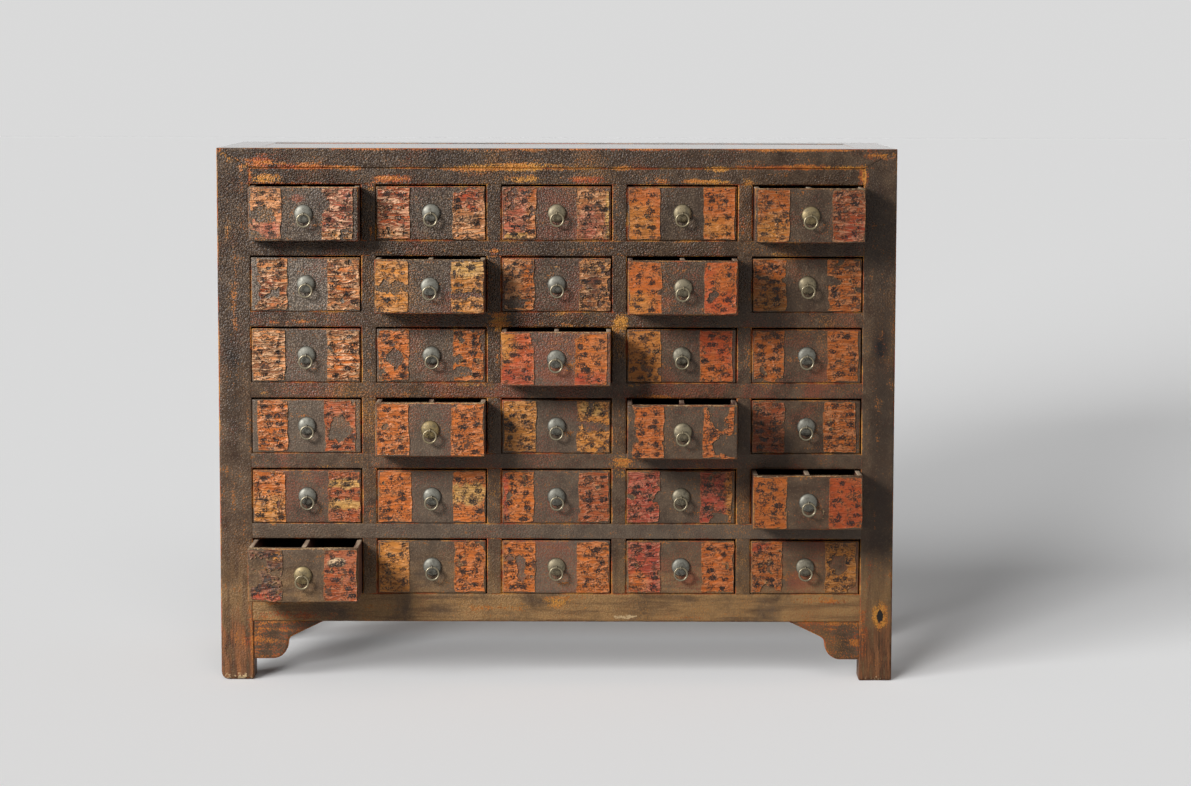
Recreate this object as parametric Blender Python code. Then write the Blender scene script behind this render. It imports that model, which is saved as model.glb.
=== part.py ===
# Apothecary chest: a mitred and tenoned case, an egg-crate of shelves and partitions, and a grid of
# divided drawers, each with a domed boss, an eye and a ring pull.
# Metres, +Z up, +X to the right of someone who faces the chest, +Y towards its back.

import math

import bmesh
import bpy
from mathutils import Matrix, Vector

# The grid of drawer openings in the front
ROWS = 6
COLUMNS = 5
OPENING_WIDTH = 0.196
OPENING_HEIGHT = 0.0988
STILE_WIDTH = 0.026
RAIL_HEIGHT = 0.0275
RAIL_DEPTH = 0.025

# The case around the grid
DEPTH = 0.420
POST_WIDTH = 0.0585
POST_DEPTH = 0.050
FOOT_CLEARANCE = 0.1065
BOTTOM_RAIL_HEIGHT = 0.051
UPPER_RAIL_HEIGHT = 0.029
TOP_THICKNESS = 0.035
TOP_FRAME_WIDTH = 0.070
TOP_PANEL_THICKNESS = 0.014
TOP_PANEL_STEP = 0.001
SIDE_PANEL_THICKNESS = 0.014
SIDE_PANEL_INSET = 0.006
SIDE_RAIL_HEIGHT = 0.051
BACK_PANEL_THICKNESS = 0.012
BACK_PANEL_INSET = 0.008

# The boards behind the front frame, and the strips on the side panels that guide the outer drawers
SHELF_THICKNESS = 0.009
PARTITION_THICKNESS = 0.010
GUIDE_HEIGHT = 0.014

# Joinery: tenons, stub tenons on the stiles, panel tongues in grooves, shelf ends in dados
TENON_LENGTH = 0.022
TENON_THICKNESS = 0.010
TENON_SHOULDER = 0.005
STUB_LENGTH = 0.008
TONGUE = 0.010
DADO_DEPTH = 0.005

# The shaped brackets under the bottom rail
BRACKET_LENGTH = 0.130
BRACKET_DROP = 0.068
BRACKET_BULGE_RADIUS = 0.028
BRACKET_NECK = 0.061
BRACKET_COVE_RISE = 0.010
BRACKET_THICKNESS = 0.018
BRACKET_RECESS = 0.002
BRACKET_TENON_LENGTH = 0.012
BRACKET_TENON_THICKNESS = 0.008

# One drawer
DRAWER_FRONT_THICKNESS = 0.018
DRAWER_SIDE_THICKNESS = 0.008
DRAWER_BACK_THICKNESS = 0.008
DRAWER_BOTTOM_THICKNESS = 0.006
DIVIDER_THICKNESS = 0.008
DRAWER_EDGE_BEVEL = 0.0015
DRAWER_BOX_INSET = 0.001

# The pull: a domed boss, an eye that stands out of it, and a ring through the eye
BOSS_RADIUS = 0.016
BOSS_HEIGHT = 0.008
EYE_WIRE_RADIUS = 0.0011
RING_RADIUS = 0.0108
RING_WIRE_RADIUS = 0.0015

# Clearances
JOINT_GAP = 0.0003
RUNNING_GAP = 0.0003
DRAWER_SIDE_GAP = 0.001
DRAWER_HEAD_GAP = 0.0018
DRAWER_STOP_GAP = 0.001
EYE_CLEARANCE = 0.0006
RING_SEAT_GAP = 0.0003

# How far a shape is sunk into the one that it is joined to, and how far a cutter passes its wall
SINK = 0.004
OVERCUT = 0.006

# How far each drawer that isn't shut stands out of the front, by (row, column) from the top left
PULLED_OUT = {
    (1, 1): 0.040,
    (1, 5): 0.070,
    (2, 2): 0.055,
    (2, 4): 0.075,
    (3, 3): 0.065,
    (4, 2): 0.055,
    (4, 4): 0.085,
    (5, 5): 0.070,
    (6, 1): 0.100,
}

# Facets of the round pieces
BOSS_SIDES = 12
BOSS_RINGS = 2
EYE_SEGMENTS = 8
EYE_WIRE_SIDES = 4
RING_SEGMENTS = 12
RING_WIRE_SIDES = 6
ARC_STEPS = 6
SMOOTH_ANGLE = math.radians(50)

# Worked out from the sizes above
WIDTH = 2 * POST_WIDTH + COLUMNS * OPENING_WIDTH + (COLUMNS - 1) * STILE_WIDTH
GRID_BOTTOM = FOOT_CLEARANCE + BOTTOM_RAIL_HEIGHT
GRID_TOP = GRID_BOTTOM + ROWS * OPENING_HEIGHT + (ROWS - 1) * RAIL_HEIGHT
TOP_UNDERSIDE = GRID_TOP + UPPER_RAIL_HEIGHT
HEIGHT = TOP_UNDERSIDE + TOP_THICKNESS
HALF_WIDTH = WIDTH / 2
HALF_OPEN = HALF_WIDTH - POST_WIDTH
BACK_FACE = DEPTH - BACK_PANEL_INSET - BACK_PANEL_THICKNESS
LAP_SPLIT = (RAIL_DEPTH + BACK_FACE) / 2
SIDE_PANEL_OUTER = HALF_WIDTH - SIDE_PANEL_INSET
SIDE_PANEL_INNER = SIDE_PANEL_OUTER - SIDE_PANEL_THICKNESS
TENON_FRONT = (RAIL_DEPTH - TENON_THICKNESS) / 2
TENON_BACK = TENON_FRONT + TENON_THICKNESS
DRAWER_WIDTH = OPENING_WIDTH - 2 * DRAWER_SIDE_GAP
DRAWER_HEIGHT = OPENING_HEIGHT - RUNNING_GAP - DRAWER_HEAD_GAP
DRAWER_LENGTH = BACK_FACE - DRAWER_STOP_GAP
EYE_RADIUS = RING_WIRE_RADIUS + EYE_CLEARANCE + EYE_WIRE_RADIUS
EYE_REACH = BOSS_HEIGHT + EYE_RADIUS
RING_SAG = EYE_CLEARANCE - RING_SEAT_GAP
PULL_REACH = EYE_REACH + EYE_RADIUS + EYE_WIRE_RADIUS * math.cos(math.pi / EYE_SEGMENTS)
FRONT_REACH = max(PULLED_OUT.values()) + PULL_REACH
FRONT_PLANE = (FRONT_REACH - DEPTH) / 2


def opening_bottom(row):
    """Height of the lower edge of a row of openings, with row 1 at the top."""
    return GRID_BOTTOM + (ROWS - row) * (OPENING_HEIGHT + RAIL_HEIGHT)


def opening_centre(column):
    """Middle of a column of openings across the chest, with column 1 on the left."""
    return (column - (COLUMNS + 1) / 2) * (OPENING_WIDTH + STILE_WIDTH)


def stile_centre(number):
    """Middle of the stile between columns number and number + 1."""
    return (opening_centre(number) + opening_centre(number + 1)) / 2


def mesh_from(name, points, faces):
    """A mesh with its normals turned outwards."""
    mesh = bpy.data.meshes.new(name)
    mesh.from_pydata([tuple(point) for point in points], [], faces)
    work = bmesh.new()
    work.from_mesh(mesh)
    bmesh.ops.recalc_face_normals(work, faces=work.faces)
    work.to_mesh(mesh)
    work.free()
    return mesh


def box_mesh(name, boxes):
    """One mesh of closed boxes, each given by its lowest and highest corner."""
    work = bmesh.new()
    for low, high in boxes:
        low, high = Vector(low), Vector(high)
        bmesh.ops.create_cube(work, size=1, matrix=Matrix.LocRotScale((low + high) / 2, None, high - low))
    mesh = bpy.data.meshes.new(name)
    work.to_mesh(mesh)
    work.free()
    return mesh


def extruded_mesh(name, outline, direction):
    """A closed flat outline swept along a direction."""
    work = bmesh.new()
    face = work.faces.new([work.verts.new(point) for point in outline])
    swept = bmesh.ops.extrude_face_region(work, geom=[face])["geom"]
    corners = [item for item in swept if isinstance(item, bmesh.types.BMVert)]
    bmesh.ops.translate(work, verts=corners, vec=direction)
    bmesh.ops.recalc_face_normals(work, faces=work.faces)
    mesh = bpy.data.meshes.new(name)
    work.to_mesh(mesh)
    work.free()
    return mesh


def dome_mesh(name):
    """The boss: a spherical cap that faces -Y, with a short stem sunk into the drawer front."""
    sphere = (BOSS_RADIUS**2 + BOSS_HEIGHT**2) / (2 * BOSS_HEIGHT)
    rim_angle = math.asin(BOSS_RADIUS / sphere)
    profile = [(BOSS_RADIUS, SINK)]
    for ring in range(BOSS_RINGS):
        angle = rim_angle * (1 - ring / BOSS_RINGS)
        profile.append((sphere * math.sin(angle), sphere * (1 - math.cos(angle)) - BOSS_HEIGHT))
    points = []
    for radius, depth in profile:
        for side in range(BOSS_SIDES):
            turn = 2 * math.pi * side / BOSS_SIDES
            points.append((radius * math.cos(turn), depth, radius * math.sin(turn)))
    points.append((0, -BOSS_HEIGHT, 0))
    apex = len(points) - 1
    last_ring = apex - BOSS_SIDES
    faces = [list(range(BOSS_SIDES))]
    for side in range(BOSS_SIDES):
        following = (side + 1) % BOSS_SIDES
        for ring in range(len(profile) - 1):
            here, there = ring * BOSS_SIDES, (ring + 1) * BOSS_SIDES
            faces.append([here + side, here + following, there + following, there + side])
        faces.append([last_ring + side, last_ring + following, apex])
    return mesh_from(name, points, faces)


def wire_loop_mesh(name, radius, wire_radius, segments, sides, along, up):
    """A closed loop of round wire about the origin, in the plane of two unit vectors.
    The flats of its polygon lie at the radius, and one of them is square to the second vector."""
    normal = along.cross(up)
    corner = radius / math.cos(math.pi / segments)
    points, faces = [], []
    for segment in range(segments):
        turn = 2 * math.pi * (segment + 0.5) / segments
        outward = along * math.sin(turn) + up * math.cos(turn)
        for side in range(sides):
            roll = 2 * math.pi * side / sides
            reach = corner + wire_radius * math.cos(roll)
            points.append(outward * reach + normal * (wire_radius * math.sin(roll)))
    for segment in range(segments):
        here, there = segment * sides, (segment + 1) % segments * sides
        for side in range(sides):
            following = (side + 1) % sides
            faces.append([here + side, here + following, there + following, there + side])
    return mesh_from(name, points, faces)


def moved(mesh, offset):
    mesh.transform(Matrix.Translation(offset))
    return mesh


def place(name, mesh, material=None):
    """An object whose own frame starts in the front plane, on the floor."""
    piece = bpy.data.objects.new(name, mesh)
    bpy.context.scene.collection.objects.link(piece)
    piece.parent = bpy.data.objects["front_plane"]
    if material:
        mesh.materials.append(material)
    return piece


def combine(piece, operation, mesh):
    """A Boolean with a hidden helper that holds the mesh."""
    helper = place(f"{piece.name}_{operation.lower()}_{len(piece.modifiers)}", mesh)
    helper.hide_render = True
    helper.display_type = "WIRE"
    modifier = piece.modifiers.new(operation.title(), "BOOLEAN")
    modifier.operation = operation
    modifier.object = helper


def settled_mesh(piece, name):
    """The piece's evaluated mesh as a mesh of its own. The piece and its helpers are then removed."""
    bpy.context.view_layer.update()
    evaluated = piece.evaluated_get(bpy.context.evaluated_depsgraph_get())
    mesh = bpy.data.meshes.new_from_object(evaluated)
    mesh.name = name
    for helper in [modifier.object for modifier in piece.modifiers]:
        bpy.data.objects.remove(helper)
    bpy.data.objects.remove(piece)
    return mesh


def finish(name, colour, roughness, metallic):
    material = bpy.data.materials.new(name)
    material.use_nodes = True
    shader = material.node_tree.nodes["Principled BSDF"]
    shader.inputs["Base Color"].default_value = (*colour, 1)
    shader.inputs["Roughness"].default_value = roughness
    shader.inputs["Metallic"].default_value = metallic
    return material


def mirrored(boxes, side):
    """Boxes drawn for the right of the chest, on the given side: 1 for right and -1 for left."""
    if side > 0:
        return boxes
    return [((-high[0], *low[1:]), (-low[0], *high[1:])) for low, high in boxes]


def tenon_box(bottom, top, grow=0.0):
    """The right-hand tenon of a rail between two heights, or with grow the mortise for it."""
    return (
        (HALF_OPEN - (OVERCUT if grow else SINK), TENON_FRONT - grow, bottom + TENON_SHOULDER - grow),
        (HALF_OPEN + TENON_LENGTH + grow, TENON_BACK + grow, top - TENON_SHOULDER + grow),
    )


def rail_spans():
    """The lowest and highest edge of each rail that is tenoned between the front posts."""
    spans = [(TOP_UNDERSIDE - UPPER_RAIL_HEIGHT, TOP_UNDERSIDE - JOINT_GAP)]
    spans += [(opening_bottom(row) - RAIL_HEIGHT, opening_bottom(row)) for row in range(1, ROWS)]
    spans.append((FOOT_CLEARANCE, GRID_BOTTOM))
    return spans


def both_ends(box):
    return [box, *mirrored([box], -1)]


def stub_boxes(bottom, top, grow=0.0):
    """The stub tenons of all the stiles between two heights, or with grow the mortises for them."""
    half = PARTITION_THICKNESS / 2 + grow
    return [
        (
            (stile_centre(number) - half, TENON_FRONT - grow, bottom),
            (stile_centre(number) + half, TENON_BACK + grow, top),
        )
        for number in range(1, COLUMNS)
    ]


def mitred_post_mesh(name, side, at_back, gap=0.0, spread=0.0):
    """A post with its top cut by two slopes, which rise to the chest's outer corner and show as mitres on
    both outer faces. With a gap and a spread it is the cutter that makes the top's matching corner."""
    points = []
    base = TOP_UNDERSIDE - TOP_THICKNESS if spread else 0.0
    for level in ("base", "top"):
        for across, inward in ((0, 0), (1, 0), (1, 1), (0, 1)):
            u = across * (1 + 2 * spread) - spread
            v = inward * (1 + 2 * spread) - spread
            x = side * (HALF_WIDTH - u * POST_WIDTH)
            y = DEPTH - v * POST_DEPTH if at_back else v * POST_DEPTH
            z = base if level == "base" else HEIGHT - TOP_THICKNESS * max(u, v) + gap
            points.append((x, y, z))
    faces = [[0, 1, 2, 3], [4, 5, 6], [4, 6, 7]]
    faces += [[edge, (edge + 1) % 4, (edge + 1) % 4 + 4, edge + 4] for edge in range(4)]
    return mesh_from(name, points, faces)


def side_groove(at_back):
    """The right-hand groove in a post for the tongue of a side panel."""
    face = DEPTH - POST_DEPTH if at_back else POST_DEPTH
    depth = TONGUE + JOINT_GAP
    near, far = (face - OVERCUT, face + depth) if at_back else (face - depth, face + OVERCUT)
    return (
        (SIDE_PANEL_INNER - JOINT_GAP, near, FOOT_CLEARANCE - JOINT_GAP),
        (SIDE_PANEL_OUTER + JOINT_GAP, far, TOP_UNDERSIDE),
    )


def bracket_tenon_box(grow=0.0):
    """The right-hand bracket's tenon in its post, or with grow the mortise for it."""
    middle = BRACKET_RECESS + BRACKET_THICKNESS / 2
    half = BRACKET_TENON_THICKNESS / 2 + grow
    bottom = FOOT_CLEARANCE - BRACKET_DROP + 2 * TENON_SHOULDER
    top = FOOT_CLEARANCE - 2 * TENON_SHOULDER
    return (
        (HALF_OPEN - (OVERCUT if grow else SINK), middle - half, bottom - grow),
        (HALF_OPEN + BRACKET_TENON_LENGTH + grow, middle + half, top + grow),
    )


def make_front_post(side, material):
    name = "post_front_right" if side > 0 else "post_front_left"
    post = place(name, mitred_post_mesh(name, side, False), material)
    cuts = [tenon_box(bottom, top, JOINT_GAP) for bottom, top in rail_spans()]
    cuts += [bracket_tenon_box(JOINT_GAP), side_groove(False)]
    combine(post, "DIFFERENCE", box_mesh(name, mirrored(cuts, side)))


def make_back_post(side, material):
    name = "post_back_right" if side > 0 else "post_back_left"
    post = place(name, mitred_post_mesh(name, side, True), material)
    back_groove = (
        (HALF_OPEN - OVERCUT, BACK_FACE - JOINT_GAP, FOOT_CLEARANCE - JOINT_GAP),
        (HALF_OPEN + TONGUE + JOINT_GAP, DEPTH - BACK_PANEL_INSET + JOINT_GAP, TOP_UNDERSIDE),
    )
    combine(post, "DIFFERENCE", box_mesh(name, mirrored([back_groove, side_groove(True)], side)))


def make_top(material):
    """The mitred frame of the top with its panel, which lies a little below the frame's face."""
    slab = [((-HALF_WIDTH, 0, TOP_UNDERSIDE), (HALF_WIDTH, DEPTH, HEIGHT))]
    top = place("top", box_mesh("top", slab), material)
    half, near, far = HALF_WIDTH - TOP_FRAME_WIDTH, TOP_FRAME_WIDTH, DEPTH - TOP_FRAME_WIDTH
    panel_top = HEIGHT - TOP_PANEL_STEP
    field = ((-half, near, panel_top), (half, far, HEIGHT + OVERCUT))
    hollow = ((-half, near, TOP_UNDERSIDE - OVERCUT), (half, far, panel_top - TOP_PANEL_THICKNESS))
    combine(top, "DIFFERENCE", box_mesh("top", [field, hollow]))
    for side in (-1, 1):
        for at_back in (False, True):
            combine(top, "DIFFERENCE", mitred_post_mesh("top", side, at_back, gap=JOINT_GAP, spread=0.25))


def make_upper_rail(material):
    bottom, top = rail_spans()[0]
    bar = [((-HALF_OPEN + JOINT_GAP, 0, bottom), (HALF_OPEN - JOINT_GAP, RAIL_DEPTH, top))]
    rail = place("upper_rail", box_mesh("upper_rail", bar), material)
    combine(rail, "UNION", box_mesh("upper_rail", both_ends(tenon_box(bottom, top))))
    sockets = stub_boxes(bottom - OVERCUT, bottom + STUB_LENGTH + JOINT_GAP, JOINT_GAP)
    combine(rail, "DIFFERENCE", box_mesh("upper_rail", sockets))


def shelf_outline(height, slotted):
    """The plan of a shelf: notched round the four posts and, if slotted, cut from behind for the partitions."""
    core = HALF_OPEN - JOINT_GAP
    wing = SIDE_PANEL_INNER + DADO_DEPTH - JOINT_GAP
    front, back = RAIL_DEPTH - SINK, BACK_FACE - JOINT_GAP
    wing_front, wing_back = POST_DEPTH + JOINT_GAP, DEPTH - POST_DEPTH - JOINT_GAP
    outline = [(-core, front), (core, front), (core, wing_front), (wing, wing_front)]
    outline += [(wing, wing_back), (core, wing_back), (core, back)]
    if slotted:
        half = PARTITION_THICKNESS / 2 + JOINT_GAP
        for number in range(COLUMNS - 1, 0, -1):
            left, right = stile_centre(number) - half, stile_centre(number) + half
            outline += [(right, back), (right, LAP_SPLIT), (left, LAP_SPLIT), (left, back)]
    outline += [(-core, back), (-core, wing_back), (-wing, wing_back), (-wing, wing_front), (-core, wing_front)]
    return [(x, y, height) for x, y in outline]


def make_rail_and_shelf(name, bottom, top, slotted, material):
    """A front rail with its tenons, and the shelf behind it that the drawers run on."""
    outline = shelf_outline(top - SHELF_THICKNESS, slotted)
    piece = place(name, extruded_mesh(name, outline, (0, 0, SHELF_THICKNESS)), material)
    bar = ((-HALF_OPEN + JOINT_GAP, 0, bottom), (HALF_OPEN - JOINT_GAP, RAIL_DEPTH, top))
    combine(piece, "UNION", box_mesh(name, [bar]))
    combine(piece, "UNION", box_mesh(name, both_ends(tenon_box(bottom, top))))
    return piece


def make_rails_and_shelves(material):
    for row in range(1, ROWS):
        top = opening_bottom(row)
        make_rail_and_shelf(f"drawer_rail_{row}", top - RAIL_HEIGHT, top, True, material)
    piece = make_rail_and_shelf("bottom_rail", FOOT_CLEARANCE, GRID_BOTTOM, False, material)
    sockets = stub_boxes(GRID_BOTTOM - STUB_LENGTH - JOINT_GAP, GRID_BOTTOM + OVERCUT, JOINT_GAP)
    combine(piece, "DIFFERENCE", box_mesh("bottom_rail", sockets))


def partition_outline(x):
    """The side of a partition board: a comb whose slots take the front halves of the shelves and rails."""
    front, back = RAIL_DEPTH - SINK, BACK_FACE - JOINT_GAP
    rail_back, slot_end = RAIL_DEPTH + JOINT_GAP, LAP_SPLIT + JOINT_GAP
    outline = [(back, GRID_BOTTOM + JOINT_GAP), (front, GRID_BOTTOM + JOINT_GAP)]
    for row in range(ROWS - 1, 0, -1):
        shelf_top = opening_bottom(row)
        under_rail = shelf_top - RAIL_HEIGHT - JOINT_GAP
        under_shelf = shelf_top - SHELF_THICKNESS - JOINT_GAP
        over_shelf = shelf_top + JOINT_GAP
        outline += [(front, under_rail), (rail_back, under_rail), (rail_back, under_shelf)]
        outline += [(slot_end, under_shelf), (slot_end, over_shelf), (front, over_shelf)]
    outline += [(front, GRID_TOP - JOINT_GAP), (back, GRID_TOP - JOINT_GAP)]
    return [(x, y, z) for y, z in outline]


def make_partition(number, material):
    """An upright board between two columns, with the stile of each row on its front edge."""
    name = f"partition_{number}"
    middle = stile_centre(number)
    outline = partition_outline(middle - PARTITION_THICKNESS / 2)
    piece = place(name, extruded_mesh(name, outline, (PARTITION_THICKNESS, 0, 0)), material)
    left, right = middle - STILE_WIDTH / 2, middle + STILE_WIDTH / 2
    stiles = []
    for row in range(1, ROWS + 1):
        bottom = opening_bottom(row)
        stiles.append(((left, 0, bottom + JOINT_GAP), (right, RAIL_DEPTH, bottom + OPENING_HEIGHT - JOINT_GAP)))
    combine(piece, "UNION", box_mesh(name, stiles))
    stubs = [
        stub_boxes(GRID_TOP - SINK, GRID_TOP + STUB_LENGTH)[number - 1],
        stub_boxes(GRID_BOTTOM - STUB_LENGTH, GRID_BOTTOM + SINK)[number - 1],
    ]
    combine(piece, "UNION", box_mesh(name, stubs))


def make_side_panel(side, material):
    """A board held in the posts' grooves, with a rail along its foot, a dado for the end of each shelf
    and, over each dado, a strip that guides the nearest drawer."""
    name = "side_panel_right" if side > 0 else "side_panel_left"
    board = (
        (SIDE_PANEL_INNER, POST_DEPTH - TONGUE, FOOT_CLEARANCE + SINK),
        (SIDE_PANEL_OUTER, DEPTH - POST_DEPTH + TONGUE, TOP_UNDERSIDE - JOINT_GAP),
    )
    piece = place(name, box_mesh(name, mirrored([board], side)), material)
    rail = (
        (SIDE_PANEL_OUTER - SINK, POST_DEPTH + JOINT_GAP, FOOT_CLEARANCE),
        (HALF_WIDTH, DEPTH - POST_DEPTH - JOINT_GAP, FOOT_CLEARANCE + SIDE_RAIL_HEIGHT),
    )
    guides = [
        (
            (HALF_OPEN, POST_DEPTH + JOINT_GAP, opening_bottom(row) + JOINT_GAP),
            (SIDE_PANEL_INNER + SINK, DEPTH - POST_DEPTH - JOINT_GAP, opening_bottom(row) + GUIDE_HEIGHT),
        )
        for row in range(1, ROWS + 1)
    ]
    combine(piece, "UNION", box_mesh(name, mirrored([rail, *guides], side)))
    dados = [
        (
            (SIDE_PANEL_INNER - OVERCUT, POST_DEPTH, opening_bottom(row) - SHELF_THICKNESS - JOINT_GAP),
            (SIDE_PANEL_INNER + DADO_DEPTH, DEPTH - POST_DEPTH, opening_bottom(row) + JOINT_GAP),
        )
        for row in range(1, ROWS + 1)
    ]
    combine(piece, "DIFFERENCE", box_mesh(name, mirrored(dados, side)))


def make_back_panel(material):
    half = HALF_OPEN + TONGUE
    board = ((-half, BACK_FACE, FOOT_CLEARANCE), (half, DEPTH - BACK_PANEL_INSET, TOP_UNDERSIDE - JOINT_GAP))
    place("back_panel", box_mesh("back_panel", [board]), material)


def arc(centre, radius, start, end):
    """Points on a circle from one angle to another, in degrees, both ends included."""
    angles = [math.radians(start + (end - start) * step / ARC_STEPS) for step in range(ARC_STEPS + 1)]
    return [(centre[0] + radius * math.cos(angle), centre[1] + radius * math.sin(angle)) for angle in angles]


def bracket_outline():
    """The bracket's face as (distance from the post, distance below the rail): a sloping arm that runs out
    under the rail, a cove at its neck, and a round lobe beside the post."""
    lobe_centre = (BRACKET_NECK - BRACKET_BULGE_RADIUS, BRACKET_DROP - BRACKET_BULGE_RADIUS)
    slope = math.atan2(lobe_centre[1] - BRACKET_COVE_RISE, BRACKET_LENGTH - BRACKET_NECK)
    turn = math.pi / 2 - slope
    cove_radius = BRACKET_COVE_RISE / math.tan(turn / 2)
    cove_centre = (BRACKET_NECK + cove_radius, lobe_centre[1])
    outline = [(0, JOINT_GAP), (BRACKET_LENGTH, JOINT_GAP)]
    outline += arc(cove_centre, cove_radius, 180 + math.degrees(turn), 180)
    outline += arc(lobe_centre, BRACKET_BULGE_RADIUS, 0, 90)[1:]
    outline.append((0, BRACKET_DROP))
    return outline


def make_bracket(side, material):
    name = "bracket_right" if side > 0 else "bracket_left"
    edge = HALF_OPEN - JOINT_GAP
    outline = [(side * (edge - out), BRACKET_RECESS, FOOT_CLEARANCE - drop) for out, drop in bracket_outline()]
    piece = place(name, extruded_mesh(name, outline, (0, BRACKET_THICKNESS, 0)), material)
    combine(piece, "UNION", box_mesh(name, mirrored([bracket_tenon_box()], side)))


def drawer_front_mesh(name):
    """The front board, its face in the plane y = 0 and its lower edge just clear of the rail."""
    half = DRAWER_WIDTH / 2
    low, high = RUNNING_GAP - DRAWER_HEIGHT / 2, DRAWER_HEIGHT / 2
    mesh = box_mesh(name, [((-half, 0, low), (half, DRAWER_FRONT_THICKNESS, high))])
    work = bmesh.new()
    work.from_mesh(mesh)
    rim = [edge for edge in work.edges if all(abs(corner.co.y) < JOINT_GAP for corner in edge.verts)]
    bmesh.ops.bevel(work, geom=rim, offset=DRAWER_EDGE_BEVEL, segments=1, affect="EDGES")
    work.to_mesh(mesh)
    work.free()
    return mesh


def drawer_mesh(name, with_ring):
    """A drawer about the middle of its face: front, sides, back, bottom and divider, and the pull."""
    half = DRAWER_WIDTH / 2 - DRAWER_BOX_INSET
    bottom, rim = -DRAWER_HEIGHT / 2, DRAWER_HEIGHT / 2 - DRAWER_BOX_INSET
    drawer = place(name, drawer_front_mesh(name))
    body = ((-half, DRAWER_FRONT_THICKNESS - SINK, bottom), (half, DRAWER_LENGTH, rim))
    combine(drawer, "UNION", box_mesh(name, [body]))
    floor = bottom + DRAWER_BOTTOM_THICKNESS
    back = DRAWER_LENGTH - DRAWER_BACK_THICKNESS
    compartment = (
        (DIVIDER_THICKNESS / 2, DRAWER_FRONT_THICKNESS, floor),
        (half - DRAWER_SIDE_THICKNESS, back, rim + OVERCUT),
    )
    combine(drawer, "DIFFERENCE", box_mesh(name, both_ends(compartment)))
    combine(drawer, "UNION", dome_mesh(name))
    forward, up = Vector((0, -1, 0)), Vector((0, 0, 1))
    eye = wire_loop_mesh(name, EYE_RADIUS, EYE_WIRE_RADIUS, EYE_SEGMENTS, EYE_WIRE_SIDES, forward, up)
    combine(drawer, "UNION", moved(eye, (0, -EYE_REACH, 0)))
    if with_ring:
        touching = EYE_CLEARANCE + EYE_WIRE_RADIUS / 2
        combine(drawer, "UNION", moved(ring_mesh(name), (0, -EYE_REACH, -touching)))
    return settled_mesh(drawer, name)


def ring_mesh(name):
    """The ring about its hinge line, which is the middle of its wire where it passes through the eye."""
    across, up = Vector((1, 0, 0)), Vector((0, 0, 1))
    loop = wire_loop_mesh(name, RING_RADIUS, RING_WIRE_RADIUS, RING_SEGMENTS, RING_WIRE_SIDES, across, up)
    return moved(loop, (0, 0, -RING_RADIUS))


def make_drawers(wood, brass):
    """All the drawers. On those that stand open, the ring is a piece of its own, which swings in the eye."""
    shut = drawer_mesh("drawer_with_ring", True)
    opened = drawer_mesh("drawer_without_ring", False)
    swinging_ring = ring_mesh("ring")
    for mesh in (shut, opened):
        mesh.materials.clear()
        mesh.materials.append(wood)
    swinging_ring.materials.append(brass)
    for mesh in (shut, opened, swinging_ring):
        mesh.shade_smooth()
        mesh.set_sharp_from_angle(angle=SMOOTH_ANGLE)
    for row in range(1, ROWS + 1):
        for column in range(1, COLUMNS + 1):
            out = PULLED_OUT.get((row, column))
            drawer = place(f"drawer_r{row}_c{column}", opened if out else shut)
            middle = opening_bottom(row) + RUNNING_GAP + DRAWER_HEIGHT / 2
            drawer.location = (opening_centre(column), -(out or 0), middle)
            if out:
                ring = place(f"ring_r{row}_c{column}", swinging_ring)
                ring.parent = drawer
                ring.location = (0, -EYE_REACH, -RING_SAG)


def main():
    for leftover in list(bpy.data.objects):
        bpy.data.objects.remove(leftover)
    front_plane = bpy.data.objects.new("front_plane", None)
    front_plane.location = (0, FRONT_PLANE, 0)
    bpy.context.scene.collection.objects.link(front_plane)
    case_wood = finish("case_lacquer", (0.075, 0.058, 0.048), 0.5, 0.0)
    inner_wood = finish("bare_wood", (0.16, 0.11, 0.075), 0.7, 0.0)
    drawer_wood = finish("drawer_lacquer", (0.20, 0.09, 0.05), 0.5, 0.0)
    brass = finish("aged_brass", (0.32, 0.30, 0.22), 0.35, 1.0)
    for side in (-1, 1):
        make_front_post(side, case_wood)
        make_back_post(side, case_wood)
        make_side_panel(side, case_wood)
        make_bracket(side, case_wood)
    make_top(case_wood)
    make_upper_rail(case_wood)
    make_rails_and_shelves(case_wood)
    for number in range(1, COLUMNS):
        make_partition(number, case_wood)
    make_back_panel(inner_wood)
    make_drawers(drawer_wood, brass)


main()
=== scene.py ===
import math

import bpy
import numpy as np
from mathutils import Matrix, Vector


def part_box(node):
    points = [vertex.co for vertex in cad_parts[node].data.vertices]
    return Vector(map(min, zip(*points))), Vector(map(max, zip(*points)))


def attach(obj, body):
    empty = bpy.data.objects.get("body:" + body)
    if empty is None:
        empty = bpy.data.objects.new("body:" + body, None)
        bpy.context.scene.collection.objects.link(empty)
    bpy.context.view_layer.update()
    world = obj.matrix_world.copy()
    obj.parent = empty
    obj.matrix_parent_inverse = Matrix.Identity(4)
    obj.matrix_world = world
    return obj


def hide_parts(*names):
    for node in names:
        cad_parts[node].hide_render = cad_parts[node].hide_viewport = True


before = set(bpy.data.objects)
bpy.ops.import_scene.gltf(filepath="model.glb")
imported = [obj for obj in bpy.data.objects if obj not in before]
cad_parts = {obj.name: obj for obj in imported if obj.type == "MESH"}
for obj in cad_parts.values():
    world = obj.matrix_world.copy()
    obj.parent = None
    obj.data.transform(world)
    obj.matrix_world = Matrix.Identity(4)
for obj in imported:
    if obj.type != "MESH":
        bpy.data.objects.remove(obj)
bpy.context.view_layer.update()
bpy.context.scene.view_settings.view_transform = "Standard"


def boxOf(node):
    low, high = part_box(node)
    return np.array(low), np.array(high)


def heightSpan(node):
    low, high = boxOf(node)
    return low[2], high[2]


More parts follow.
